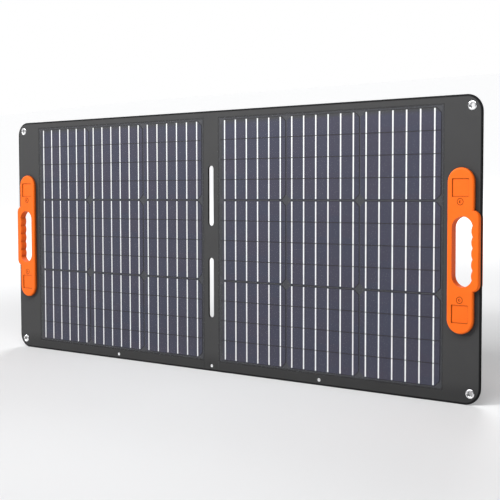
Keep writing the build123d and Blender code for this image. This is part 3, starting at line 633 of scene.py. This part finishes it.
def tube_faces(first, rings, size):
    """Faces round a stack of rings of points, with a cap at each end."""
    faces = []
    for base in range(first, first + (rings - 1) * size, size):
        for k in range(size):
            m = (k + 1) % size
            faces.append((base + k, base + m, base + size + m, base + size + k))
    faces.append(tuple(first + k for k in reversed(range(size))))
    faces.append(tuple(first + (rings - 1) * size + k for k in range(size)))
    return faces


def thicken(flat, triangles, front, back):
    """Closed solid between two heights, each a function of the flat point."""
    count = len(flat)
    points = [(u, v, front(u, v)) for u, v in flat] + [(u, v, back(u, v)) for u, v in flat]
    faces = list(map(tuple, triangles))
    faces += [tuple(count + i for i in reversed(t)) for t in triangles]
    seen = {(a, b): True for t in triangles for a, b in zip(t, t[1:] + t[:1])}
    faces += [(b, a, count + a, count + b) for a, b in seen if (b, a) not in seen]
    used = sorted({i for f in faces for i in f})
    place = {old: new for new, old in enumerate(used)}
    return [points[i] for i in used], [tuple(place[i] for i in f) for f in faces]


def sweep(path, profile):
    """Profile (inward, w) carried along an open path (u, v); returns points and faces."""
    path = np.array(path, float)
    along = np.vstack([path[1:], path[-1:]]) - np.vstack([path[:1], path[:-1]])
    along /= np.linalg.norm(along, axis=1)[:, None]
    inward = np.stack([-along[:, 1], along[:, 0]], axis=1)
    points = [(p[0] + n[0] * a, p[1] + n[1] * a, w) for p, n in zip(path, inward)
              for a, w in profile]
    return points, flipped(tube_faces(0, len(path), len(profile)))


def smoothstep(x, low, high):
    t = min(1.0, max(0.0, (x - low) / (high - low)))
    return t * t * (3 - 2 * t)


def squeeze(u, v, w):
    """Depth w on the thick halves, pressed in on the thin spine and more where its eyelet clamps."""
    share = SPINE_SHARE + (1 - SPINE_SHARE) * smoothstep(abs(u), SPINE_THIN_FROM, SPINE_THICK_FROM)
    free = smoothstep(hypot(u, v - EYELET_V), CLAMP_FROM, CLAMP_TO)
    share = CLAMP_SHARE + (share - CLAMP_SHARE) * free
    return MIDDLE_W + (w - MIDDLE_W) * share


def bend_across(piece, side):
    """A piece on one half that reaches the middle of the spine has its placement baked into its mesh.
    """
    if side == "left":
        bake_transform(piece)
    else:
        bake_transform(piece)


# ------ stitches
STITCH_SIDES, STITCH_RINGS = 6, 5
STRAP_STITCH = {"length": 2.0, "pitch": 2.8, "thick": 0.34}
PATCH_STITCH = {"length": 2.2, "pitch": 3.0, "thick": 0.35}


def stitches(lines, height, facing, length=3.2, pitch=4.4, thick=0.42):
    """Thread stitches along polylines: short humps that sink in at both ends."""
    points, faces = [], []
    for line in lines:
        line = np.array(line, float)
        gaps = np.linalg.norm(np.diff(line, axis=0), axis=1)
        run = np.concatenate([[0], np.cumsum(gaps)])
        for start in np.arange(0.5, run[-1] - length, pitch):
            marks = start + length * np.arange(STITCH_RINGS) / (STITCH_RINGS - 1)
            us, vs = np.interp(marks, run, line[:, 0]), np.interp(marks, run, line[:, 1])
            along = np.array([us[-1] - us[0], vs[-1] - vs[0]])
            along /= max(np.linalg.norm(along), 1e-9)
            faces += tube_faces(len(points), STITCH_RINGS, STITCH_SIDES)
            for ring in range(STITCH_RINGS):
                rise = sin(pi * ring / (STITCH_RINGS - 1))
                r = thick * (0.55 + 0.45 * rise)
                lift = height(us[ring], vs[ring]) + (rise * 0.9 - 0.55) * thick * facing
                for k in range(STITCH_SIDES):
                    a = 2 * pi * k / STITCH_SIDES
                    points.append((us[ring] - along[1] * r * cos(a),
                                   vs[ring] + along[0] * r * cos(a), lift + r * sin(a)))
    return points, faces


def sew(name, lines, height, body, facing=-1, matrix=FACE, **sizes):
    """Rows of thread stitches that ride on a body."""
    fit(name, *stitches(lines, height, facing, **sizes), THREAD, body, "rear_fabric",
        matrix=matrix)


def cross_box(u, v, width, height):
    """Sewn box with a cross in it."""
    a, b = width / 2, height / 2
    box = [(u - a, v - b), (u + a, v - b), (u + a, v + b), (u - a, v + b), (u - a, v - b)]
    return [box, [(u - a, v - b), (u + a, v + b)], [(u - a, v + b), (u + a, v - b)]]


# ------ cloth faces of the halves
def face_holes(side, with_window):
    """Outline of one half's cloth out to the middle of the spine, with its holes."""
    sign = SIDES[side]
    outline = half_outline(BINDING_W, 0.0)
    r, rise = SLOT_W / 2, (SLOT_L - SLOT_W) / 2
    for middle in (SLOT_MID_V + SLOT_RISE, SLOT_MID_V - SLOT_RISE):
        outline.append((0.0, middle + rise + r))
        outline += arc((0, middle + rise), r, 90, 0, 10)[1:]
        outline += arc((0, middle - rise), r, 0, -90, 10)
    outline += arc((0, EYELET_V), EYELET_CUT_R, 90, -90, 8)
    loops = [[(sign * u, v) for u, v in outline]]
    corner = sign * (PANEL_W / 2 - GROMMET_INSET)
    loops += [circle((corner, v), GROMMET_CUT_R) for v in (GROMMET_INSET, PANEL_H - GROMMET_INSET)]
    loops.append(circle((sign * EYELET_U, EYELET_V), EYELET_CUT_R, 12))
    loops.append(stadium((sign * GRIP_U, GRIP_V), GRIP_W, GRIP_L))
    if with_window:
        loops.append(rounded(BLOCK_LEFT[side] + BLOCK_W / 2, CELLS_BOTTOM + BLOCK_H / 2,
                             BLOCK_W + 2 * WINDOW_MARGIN, BLOCK_H + 2 * WINDOW_MARGIN, 2.0, 3))
    return loops


def grid_lines(side):
    """Grid columns and rows, close together at the crease and round the window."""
    sign, left, low = SIDES[side], BLOCK_LEFT[side], CELLS_BOTTOM
    near = np.arange(1.0, 27.0, 1.5)
    far = np.arange(28.0, PANEL_W / 2, 9.0)
    laps = (WINDOW_MARGIN + 1.5, WINDOW_MARGIN + 3.0, LAP_W)
    edge_us = [left - lap for lap in laps] + [left + BLOCK_W + lap for lap in laps]
    edge_vs = [low - lap for lap in laps] + [low + BLOCK_H + lap for lap in laps]
    us = np.concatenate([sign * near, sign * far, edge_us])
    return us, np.concatenate([np.arange(6.0, PANEL_H, 9.0), edge_vs])


def board_room(u):
    """Half the room that the stiff board takes between the two cloths; none at the spine."""
    return (-MIDDLE_W - SKIN) * smoothstep(abs(u), BOARD_FROM, BOARD_FULL)


def front_layers(side):
    """Heights of the front cloth's faces; it is pressed down under the film's edge."""
    def outer(u, v):
        beyond = max(BLOCK_LEFT[side] - u, u - BLOCK_LEFT[side] - BLOCK_W,
                     CELLS_BOTTOM - v, v - CELLS_BOTTOM - BLOCK_H)
        press = PRESS_DEEP * (1 - smoothstep(beyond, WINDOW_MARGIN, LAP_W))
        return squeeze(u, v, 0.0) - press

    def inner(u, v):
        return min(squeeze(u, v, -SKIN), MIDDLE_W + board_room(u))

    return outer, inner


def rear_layers():
    """Heights of the rear cloth's faces, with a slight ripple behind."""
    def inner(u, v):
        return max(squeeze(u, v, -THICK + SKIN), MIDDLE_W - board_room(u))

    def outer(u, v):
        ripple = 0.12 * sin(u * 0.045 + v * 0.02) * sin(v * 0.037 - u * 0.011)
        return squeeze(u, v, -THICK) + ripple * smoothstep(abs(u), 20, 60) - 0.12

    return inner, outer


def cloth_face(side, front):
    """The front or rear cloth of one half, out to the middle of the spine."""
    us, vs = grid_lines(side)
    flat, triangles = triangulate(face_holes(side, front), us, vs)
    layers = front_layers(side) if front else rear_layers()
    word, node, cloth = ("front", "front", FRONT_CLOTH) if front else ("rear", "back", REAR_CLOTH)
    points, faces = thicken(flat, triangles, *layers)
    piece = put(f"{word}_cloth_{side}", points, faces, cloth)
    bend_across(piece, side)
    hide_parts(f"{node}_skin_{side}", f"spine_{node}_skin")
    area = flat_area(flat, triangles)


def rim_path():
    """Edge of the right half, from the spine along the bottom, up its end and back."""
    u, r = PANEL_W / 2, CORNER_R
    path = [(x, 0.0) for x in (*np.arange(0.0, 32.0, 1.5), *np.arange(36, u - r, 12))]
    path += arc((u - r, r), r, 270, 360, 14)
    path += [(u, v) for v in np.arange(r + 8, PANEL_H - r, 12)]
    path += arc((u - r, PANEL_H - r), r, 0, 90, 14)
    back = (*np.arange(u - r - 8, 32, -12), *np.arange(30.0, -0.1, -1.5))
    return path + [(x, PANEL_H) for x in back]


def binding(side):
    """Black tape round the edge of one half, thinner where it passes the spine."""
    sign, half = SIDES[side], THICK / 2
    nose = [(half - half * cos(a), MIDDLE_W + (half + 0.06) * sin(a))
            for a in np.linspace(-pi / 2, pi / 2, 13)]
    profile = [(3.6, MIDDLE_W - half - 0.14)] + nose + [(3.6, 0.14), (3.7, -0.05)]
    profile += [(3.05, -0.4), (3.05, -THICK + 0.4), (3.7, -THICK + 0.05)]
    points, faces = sweep(rim_path(), profile)
    points = [(sign * u, v, squeeze(u, v, w)) for u, v, w in points]
    piece = put(f"edge_tape_{side}", points, faces if sign > 0 else flipped(faces), TAPE)
    bend_across(piece, side)
    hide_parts(f"edge_binding_{side}")


def slot_lining(side):
    """Heat-sealed dark edge that lines one half of each slot through the spine."""
    sign, r, rise = SIDES[side], SLOT_W / 2, (SLOT_L - SLOT_W) / 2
    front, back = 0.05, -THICK - 0.05
    profile = [(0.0, front), (0.0, back), (-0.35, back), (-LINING_T, back + 0.5),
               (-LINING_T, front - 0.5), (-0.35, front)]
    parts = []
    for middle in (SLOT_MID_V - SLOT_RISE, SLOT_MID_V + SLOT_RISE):
        path = arc((0, middle + rise), r, 90, 0, 10)
        path += [(r, v) for v in np.linspace(middle + rise, middle - rise, 14)[1:-1]]
        path += arc((0, middle - rise), r, 0, -90, 10)
        parts.append(sweep(path, profile))
    points, faces = join(parts)
    points = [(sign * u, v, squeeze(u, v, w)) for u, v, w in points]
    piece = put(f"slot_lining_{side}", points, flipped(faces) if sign > 0 else faces, TAPE)
    bend_across(piece, side)


# ------ ribbons
RIBBON_SECTION = ((-1.0, -0.25), (1.0, -0.25), (1.0, -0.12), (0.72, -0.02), (-0.72, -0.02),
                  (-1.0, -0.12))


def ribbon_pieces(side):
    """Tinned ribbons, one short length to each strip of each cell."""
    points, faces = [], []
    counts = (COLUMNS, RIBBONS, ROWS, STRIPS)
    for column, ribbon, row, strip in product(*map(range, counts)):
        u = BLOCK_LEFT[side] + column * COLUMN_PITCH + RIBBON_FIRST + ribbon * RIBBON_PITCH
        foot = CELLS_BOTTOM + row * ROW_PITCH + strip * STRIP_H
        low = foot + (CELL_END if strip == 0 else STRIP_END)
        high = foot + STRIP_H - (CELL_END if strip == STRIPS - 1 else STRIP_END)
        rings = ((low, 0.9), (low + RIBBON_TAPER, 1), (high - RIBBON_TAPER, 1), (high, 0.9))
        faces += tube_faces(len(points), len(rings), len(RIBBON_SECTION))
        points += [(u + a * share * RIBBON_W / 2, v, w) for v, share in rings
                   for a, w in RIBBON_SECTION]
    fit(f"cell_ribbons_{side}", points, flipped(faces), TINNED, f"{side}_panel",
        "tinned_ribbon", f"ribbons_{side}", smooth=30)


# ------ sewn parts on the back
def tape_patch(name, outline, back, front, material, body, slot, *nodes, matrix=FACE, grid=3.0,
               ripple=0.12):
    """A flat sewn piece between two depths, with edges that thin out and a slight ripple."""
    us = np.arange(min(p[0] for p in outline) + grid, max(p[0] for p in outline), grid)
    vs = np.arange(min(p[1] for p in outline) + grid, max(p[1] for p in outline), grid)
    flat, triangles = triangulate([outline], us, vs, grid)
    edge = np.array(dense(outline, 1.0))
    outward = 1 if front > back else -1
    thick = abs(front - back)

    def top(u, v):
        gap = np.hypot(edge[:, 0] - u, edge[:, 1] - v).min()
        wave = ripple * sin(u * 0.31 + v * 0.17) * sin(v * 0.23 - u * 0.07)
        share = 0.45 + 0.55 * smoothstep(gap, 0.0, 2.2)
        return back + outward * (thick * share + wave * smoothstep(gap, 2.0, 6.0) - ripple)

    layers = (top, lambda u, v: back)
    solid = thicken(flat, triangles, *(layers if outward > 0 else layers[::-1]))
    fit(name, *solid, material, body, slot, *nodes, matrix=matrix)


def stand_sleeve(side):
    """Fabric sleeve of a kickstand: flat on its board, thin at the sewn edges."""
    matrix, body = stand_frame(side), f"{side}_kickstand"
    half_w, low, top = STAND_W / 2 - 0.6, -SLEEVE_END, -1.0
    outline = [(-half_w, low), (half_w, low), (half_w, top), (-half_w, top)]
    us, vs = np.arange(-half_w + 2, half_w, 4.0), np.arange(low + 3, top, 6.0)
    flat, triangles = triangulate([outline], us, vs, 4.0)

    def depth(x, y):
        edge = min(half_w - abs(x), top - y)
        ripple = 0.07 * sin(x * 0.06 + y * 0.013) * sin(y * 0.041 - x * 0.02)
        return 0.9 + (STAND_T / 2 - 1.0) * smoothstep(edge, 1.0, 7.0) + ripple

    solid = thicken(flat, triangles, depth, lambda x, y: -depth(x, y))
    piece = fit(f"stand_sleeve_{side}", *solid, REAR_CLOTH, body, "rear_fabric",
                f"kickstand_cover_{side}", matrix=matrix)
    seam_x, seam_y = half_w - SLEEVE_SEAM, top - SLEEVE_SEAM
    lines = [[(e * seam_x, seam_y), (e * seam_x, low + 1)] for e in (-1, 1)]
    lines.append([(-seam_x, seam_y), (seam_x, seam_y)])
    for word, facing, sunk in (("outer", -1, 0.0), ("inner", 1, STITCH_SUNK)):
        sew(f"stand_stitches_{word}_{side}", lines, lambda x, y: facing * (depth(x, y) - sunk),
            body, facing, matrix)


def stand_edges(side):
    """Tape bound round the two long edges of a kickstand."""
    nose = [(1.3 - 1.3 * cos(a), 1.35 * sin(a)) for a in np.linspace(-pi / 2, pi / 2, 9)]
    profile = [(5.5, -1.55)] + nose + [(5.5, 1.55), (5.6, 1.2), (5.6, -1.2)]
    ys = np.linspace(-SLEEVE_END, -0.5, 60)
    left = sweep([(-STAND_W / 2, y) for y in reversed(ys)], profile)
    right = sweep([(STAND_W / 2, y) for y in ys], profile)
    fit(f"stand_tape_{side}", *join((left, right)), TAPE, f"{side}_kickstand", "edge_binding",
        matrix=stand_frame(side))


def hinge_bend(matrix):
    """The hinge cloth's line (v, w) and the way out of it: down the panel, then the stand."""
    line = [(STAND_HINGE_V + v, -THICK - 0.55) for v in (23, 18, 13, 8, 5)]
    line += [(STAND_HINGE_V + 3.2, -THICK - 1.0), (STAND_HINGE_V + 2.0, -THICK - 2.6)]
    for y in (-1.5, -4, -8, -13, -18, -24):
        proud = 0.2 if y < -2 else 0.9
        spot = FACE.inverted() @ matrix @ Vector((0, y * MM, -(STAND_T / 2 + proud) * MM))
        line.append((spot.y / MM, spot.z / MM))
    line = np.array(line)
    along = np.gradient(line, axis=0)
    along /= np.linalg.norm(along, axis=1)[:, None]
    away = np.stack([along[:, 1], -along[:, 0]], axis=1)
    return line, away * np.sign(-away[0, 1])


def sheet_faces(columns, rows):
    """Faces of a sheet of two layers, each a grid of points, closed round its rim."""
    faces, shift = [], columns * rows
    for layer, i, k in product(range(2), range(columns - 1), range(rows - 1)):
        a = layer * shift + i * rows + k
        quad = (a, a + 1, a + rows + 1, a + rows)
        faces.append(quad if layer else quad[::-1])
    rim = [i * rows for i in range(columns)] + [shift - rows + k for k in range(1, rows)]
    rim += [i * rows + rows - 1 for i in range(columns - 2, -1, -1)] + list(range(rows - 2, 0, -1))
    return faces + [(a, b, b + shift, a + shift) for a, b in zip(rim, rim[1:] + rim[:1])]


def hinge_cloth(side):
    """Cloth hinge: sewn to the panel's back, over the hinge line and down the kickstand."""
    matrix, u = stand_frame(side), SIDES[side] * STAND_U
    line, away = hinge_bend(matrix)
    half_w = STAND_W / 2 - HINGE_CLOTH_IN
    columns, points = np.linspace(-half_w, half_w, 54), []
    for layer, x, k in product((-0.5, 0.5), columns, range(len(line))):
        wave = 0.18 * sin(x * 0.21 + k) * sin(x * 0.043) if 4 < k < 9 else 0
        v, w = line[k] + away[k] * (layer * HINGE_CLOTH_T + wave)
        points.append((u + x, v, w))
    faces = sheet_faces(len(columns), len(line))
    piece = put(f"hinge_cloth_{side}", points, faces, REAR_CLOTH)
    at(u, STAND_HINGE_V + 4, -THICK)
    at(u, STAND_HINGE_V - 4, -THICK)
    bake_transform(piece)
    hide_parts(f"kickstand_hinge_strip_{side}")
    seam = half_w - 3
    rows = [[(u - seam, STAND_HINGE_V + v), (u + seam, STAND_HINGE_V + v)] for v in (9.0, 20.0)]
    sew(f"hinge_stitches_{side}", rows, lambda u, v: -THICK - 1.05, f"{side}_panel")
    sew(f"hinge_lower_stitches_{side}", [[(-seam, -20.0), (seam, -20.0)]],
        lambda x, y: -STAND_T / 2 - 0.65, f"{side}_kickstand", -1, matrix)


def strap_web(side, u, v):
    """Webbing strap from the panel to the open kickstand, with a slight sag and curl."""
    start, shares = -THICK - 0.5, np.linspace(0, 1, 25)
    line = [(v - STRAP_SAG * sin(pi * s), start + (STRAP_END_W - start) * s) for s in shares]
    columns, points, faces = np.linspace(-STRAP_W / 2, STRAP_W / 2, 9), [], []
    for x in columns:
        curl = STRAP_CURL * (abs(x) / (STRAP_W / 2)) ** 2
        for up in (-1, 1):
            points += [(u + x, a + up * STRAP_T / 2 - curl, w) for a, w in line]
    m = len(line)
    last = (len(columns) - 1) * 2 * m
    for a, k in product(range(0, last, 2 * m), range(m - 1)):
        p, q = a + k, a + 2 * m + k
        faces += [(p, q, q + 1, p + 1), (p + m, p + m + 1, q + m + 1, q + m)]
    for k in range(m - 1):
        faces.append((k, k + 1, k + m + 1, k + m))
        faces.append((last + k, last + m + k, last + m + k + 1, last + k + 1))
    for a in range(0, last, 2 * m):
        faces += [(a, a + m, a + 3 * m, a + 2 * m),
                  (a + m - 1, a + 3 * m - 1, a + 4 * m - 1, a + 2 * m - 1)]
    piece = fit(f"stop_strap_{side}", points, faces, WEBBING, f"{side}_panel", "webbing",
                f"kickstand_strap_{side}")
    tuple(at(u, v, start))
    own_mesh(piece)


def stop_strap(side):
    """Strap that stops the kickstand, with a sewn tab on the panel and one on the stand."""
    matrix, u = stand_frame(side), SIDES[side] * STAND_U
    low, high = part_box(f"kickstand_strap_{side}")
    middle = FACE.inverted() @ Vector((0, (low[1] + high[1]) / 2, (low[2] + high[2]) / 2))
    v = middle.y / MM
    strap_web(side, u, v)
    tape_patch(f"strap_tab_{side}", rounded(u, v, ANCHOR_W, ANCHOR_H, 2.0), -THICK, -THICK - 1.3,
               WEBBING, f"{side}_panel", "webbing", f"strap_anchor_{side}")
    boxes = cross_box(u, v + ANCHOR_H / 4 + 1, ANCHOR_W - 8, ANCHOR_H / 2 - 6)
    boxes += cross_box(u, v - ANCHOR_H / 4 - 1, ANCHOR_W - 8, ANCHOR_H / 2 - 6)
    sew(f"strap_stitches_{side}", boxes, lambda a, b: -THICK - 1.1, f"{side}_panel",
        **STRAP_STITCH)
    tape_patch(f"strap_pad_{side}", rounded(0, -STRAP_DOWN, ANCHOR_W - 4, ANCHOR_H, 2.0),
               STAND_T / 2 - 0.1, STAND_T / 2 + 1.0, WEBBING, f"{side}_kickstand", "webbing",
               matrix=matrix)
    sew(f"strap_pad_stitches_{side}", cross_box(0, -STRAP_DOWN, ANCHOR_W - 12, ANCHOR_H - 8),
        lambda a, b: STAND_T / 2 + 0.75, f"{side}_kickstand", 1, matrix, **STRAP_STITCH)


def fasteners(side):
    """Loop patch on the panel and hook patch on the kickstand, each sewn round its edge."""
    on_panel = (SIDES[side] * STAND_U, STAND_HINGE_V - PATCH_DOWN)
    patches = (
        ("loop", on_panel, -THICK, -THICK - PATCH_T, FACE, f"{side}_panel", 0.2),
        ("hook", (0, -PATCH_DOWN), STAND_T / 2 - 0.1, STAND_T / 2 + PATCH_T, stand_frame(side),
         f"{side}_kickstand", 0.1),
    )
    for word, spot, back, front, matrix, body, ripple in patches:
        tape_patch(f"{word}_tape_{side}", rounded(*spot, PATCH_W, PATCH_W, 4.0), back, front, NAP,
                   body, "hook_and_loop", f"{word}_patch_{side}", matrix=matrix, ripple=ripple)
        facing = 1 if front > back else -1
        line = ring_line(rounded(*spot, PATCH_W - 5, PATCH_W - 5, 2.5))
        sew(f"{word}_stitches_{side}", [line], lambda a, b: front - 0.1 * facing, body, facing,
            matrix, **PATCH_STITCH)


def rear_stitches(side):
    """A row of stitches that holds the rear cloth along its edges and beside the spine."""
    outline = [(SIDES[side] * u, v) for u, v in half_outline(7.5, 24.0)]
    sew(f"rear_stitches_{side}", [dense(outline, 30.0)], lambda u, v: -THICK - 0.2,
        f"{side}_panel", length=3.4, pitch=5.0)


# ------ cable pocket
POUCH_CLOTH = {
    "quality": 5, "mass": 0.15, "tension_stiffness": 12, "compression_stiffness": 12,
    "bending_stiffness": 0.05, "shrink_min": -0.055, "shrink_max": -0.055, "use_pressure": True,
    "uniform_pressure_force": 1.2, "vertex_group_mass": "sewn",
}


def pocket_edge(u, v):
    """How far a point lies inside the pouch's rectangle."""
    return min(POCKET_W / 2 - abs(u - POCKET_U), POCKET_H / 2 - abs(v - POCKET_V))


def pocket_height(u, v):
    """Depth of the pouch before it is inflated, from the sewn edge up to its flat front."""
    rise = min(1.0, max(0.0, pocket_edge(u, v) / POCKET_SLOPE))
    return -THICK - 0.6 - (POCKET_T - 0.7) * (1 - (1 - rise) ** 2)


def pin_seams(piece, points):
    """Vertex group of what the simulation leaves in place: the sewn edge, back and zip."""
    pins = piece.vertex_groups.new(name="sewn")
    for index, (u, v, w) in enumerate(points):
        zipped = abs(v - ZIP_V) < 9 and abs(u - POCKET_U) < ZIP_L / 2 + 2
        if w > -THICK - 0.1 or pocket_edge(u, v) < POCKET_SEAM or zipped:
            pins.add([index], 1.0, "REPLACE")


def inflate(piece, points):
    """Swell the pouch a little by cloth simulation, with a cap on how far a point moves."""
    pin_seams(piece, points)
    cloth = piece.modifiers.new("cloth", "CLOTH")
    for name, value in POUCH_CLOTH.items():
        setattr(cloth.settings, name, value)
    cloth.collision_settings.use_collision = False
    cloth.collision_settings.use_self_collision = False
    cloth.settings.effector_weights.gravity = 0.6
    for step in range(1, 21):
        bpy.context.scene.frame_set(step)
    graph = bpy.context.evaluated_depsgraph_get()
    solved = piece.evaluated_get(graph).to_mesh()
    moved = np.array([FACE.inverted() @ vertex.co for vertex in solved.vertices]) / MM
    piece.evaluated_get(graph).to_mesh_clear()
    piece.modifiers.clear()
    piece.vertex_groups.clear()
    bpy.context.scene.frame_set(1)
    rest = np.array(points)
    final = rest + np.clip(moved - rest, -POCKET_CAP, POCKET_CAP)
    final[:, 2] = np.clip(final[:, 2], -THICK - POCKET_T - POCKET_CAP, POCKET_BASE)
    for vertex, place in zip(piece.data.vertices, final):
        vertex.co = FACE @ Vector(place * MM)
    piece.data.update()


def pouch():
    """Zipped pouch: a sewn shell, inflated a little and sagging."""
    outline = rounded(POCKET_U, POCKET_V, POCKET_W - 2, POCKET_H - 2, POCKET_R)
    us = np.arange(POCKET_LEFT + 3, POCKET_LEFT + POCKET_W, 3.4)
    vs = np.arange(POCKET_LOW + 3, POCKET_LOW + POCKET_H, 3.4)
    flat, triangles = triangulate([outline], us, vs, 3.4)
    points, faces = thicken(flat, triangles, lambda u, v: POCKET_BASE, pocket_height)
    piece = fit("cable_pouch", points, faces, POCKET_CLOTH, "left_panel", "pocket_fabric",
                "cable_pocket")
    inflate(piece, points)
    smooth = piece.modifiers.new("fine", "SUBSURF")
    smooth.levels = smooth.render_levels = 1


def pocket_binding():
    """Tape bound round the pouch's sewn edge, with its stitches."""
    outline = rounded(POCKET_U, POCKET_V, POCKET_W + 5, POCKET_H + 5, POCKET_R + 2)
    opening = rounded(POCKET_U, POCKET_V, POCKET_W - 8, POCKET_H - 8, POCKET_R - 4)
    us = np.arange(POCKET_LEFT, POCKET_LEFT + POCKET_W + 2, 4.0)
    vs = np.arange(POCKET_LOW + 3, POCKET_LOW + POCKET_H, 3.4)
    flat, triangles = triangulate([outline, opening], us, vs, 3.0)

    def over(u, v):
        height = pocket_height(u, v)
        return height - 0.9 if height < -THICK - 0.7 else -THICK - 0.9

    solid = thicken(flat, triangles, lambda u, v: POCKET_BASE, over)
    fit("pocket_binding", *solid, TAPE, "left_panel", "edge_binding")
    line = ring_line(rounded(POCKET_U, POCKET_V, POCKET_W + 1, POCKET_H + 1, POCKET_R))
    sew("pocket_stitches", [dense(line, 2.0)], lambda u, v: -THICK - 0.95, "left_panel",
        length=2.6, pitch=3.6, thick=0.36)


def zip_tapes():
    """The zip's two woven tapes."""
    for word, sign in (("upper", 1), ("lower", -1)):
        middle = ZIP_V + sign * (ZIP_W / 4 + 0.35)
        outline = rounded(POCKET_U, middle, ZIP_L, ZIP_W / 2 - 0.7, 0.8, 3)
        tape_patch(f"zip_tape_{word}", outline, ZIP_FRONT + 0.3, ZIP_FRONT - 0.75, TAPE,
                   "left_panel", "zip_tape", "zip_track", grid=2.0, ripple=0.05)


def zip_teeth():
    """Two rows of moulded teeth that mesh."""
    outline = [(-0.62, 2.3), (-0.55, 0.4), (-0.8, -0.3), (-0.5, -0.9), (0.5, -0.9), (0.8, -0.3),
               (0.55, 0.4), (0.62, 2.3)]
    rings = ((ZIP_FRONT - 0.1, 1.0), (ZIP_FRONT - 1.0, 1.0), (ZIP_FRONT - 1.3, 0.75))
    points, faces = [], []
    for index in range(int((ZIP_L - 6) / TOOTH_PITCH)):
        u = POCKET_U - ZIP_L / 2 + 3 + (index + 0.5) * TOOTH_PITCH
        sign = 1 if index % 2 else -1
        tooth = tube_faces(len(points), len(rings), len(outline))
        faces += tooth if sign < 0 else flipped(tooth)
        points += [(u + a * grow, ZIP_V + sign * (b * grow), w) for w, grow in rings
                   for a, b in outline]
    fit("zip_teeth", points, faces, BLACK_PLASTIC, "left_panel", "zip_tape", smooth=20)


def zip_stitches():
    """Two rows of stitches that hold the tapes."""
    left, right = POCKET_U - ZIP_L / 2 + 2, POCKET_U + ZIP_L / 2 - 2
    rows = [[(u, ZIP_V + sign * (ZIP_W / 2 - 1.2)) for u in (left, right)] for sign in (-1, 1)]
    sew("zip_stitches", rows, lambda u, v: ZIP_FRONT - 0.7, "left_panel", length=2.0, pitch=2.8,
        thick=0.3)


# ------ CAD nodes that stay
PAINT = (
    (SHEET_PLASTIC, "stiffener_board", "kickstand_board"),
    (BACKSHEET, "backsheet"),
    (TINNED, "bus_bars"),
    (NICKEL, "corner_grommets", "grommet_washers"),
    (EYELET_METAL, "small_eyelet", "spine_eyelet"),
    (ORANGE, "handle_front", "handle_back"),
    (MAGNET, "handle_magnets"),
    (DARK_STEEL, "handle_screws", "junction_box_screws", "zip_slider"),
    (RUBBER, "kickstand_foot", "output_gland"),
    (BLACK_PLASTIC, "junction_box_base", "junction_box_lid"),
    (BOARD_GREEN, "circuit_board"),
)
EDGE_ROUND = {
    "junction_box_base": 0.8,
    "junction_box_lid": 0.5,
    "output_gland": 0.4,
    "zip_slider": 0.3,
    "kickstand_foot_left": 0.6,
    "kickstand_foot_right": 0.6,
}


def paint(node, material):
    """Give a CAD node, if there is one of the name, its procedural material."""
    if node in frame["nodes"]:
        mesh = frame["nodes"][node].data
        mesh.materials.clear()
        mesh.materials.append(material)


def soften(node, width):
    """Round a CAD node's sharp edges with a modifier; its mesh stays as it is."""
    bevel = frame["nodes"][node].modifiers.new("edge", "BEVEL")
    bevel.width = width * MM
    bevel.segments = 2
    bevel.limit_method = "ANGLE"
    bevel.angle_limit = radians(50.0)


# ------ build
stand_camera()
light_studio()
lay_floor()

for side in SIDES:
    cloth_face(side, front=True)
    cloth_face(side, front=False)
    binding(side)
    slot_lining(side)
    ribbon_pieces(side)
    stand_sleeve(side)
    stand_edges(side)
    hinge_cloth(side)
    stop_strap(side)
    fasteners(side)
    rear_stitches(side)
pouch()
pocket_binding()
zip_tapes()
zip_teeth()
zip_stitches()

for side in SIDES:
    paint(f"cells_{side}", solar_cell(side))
    paint(f"cover_film_{side}", clear_film(side))
for material, *stems in PAINT:
    for node in product(stems, ("", "_left", "_right")):
        paint("".join(node), material)
for node, width in EDGE_ROUND.items():
    soften(node, width)
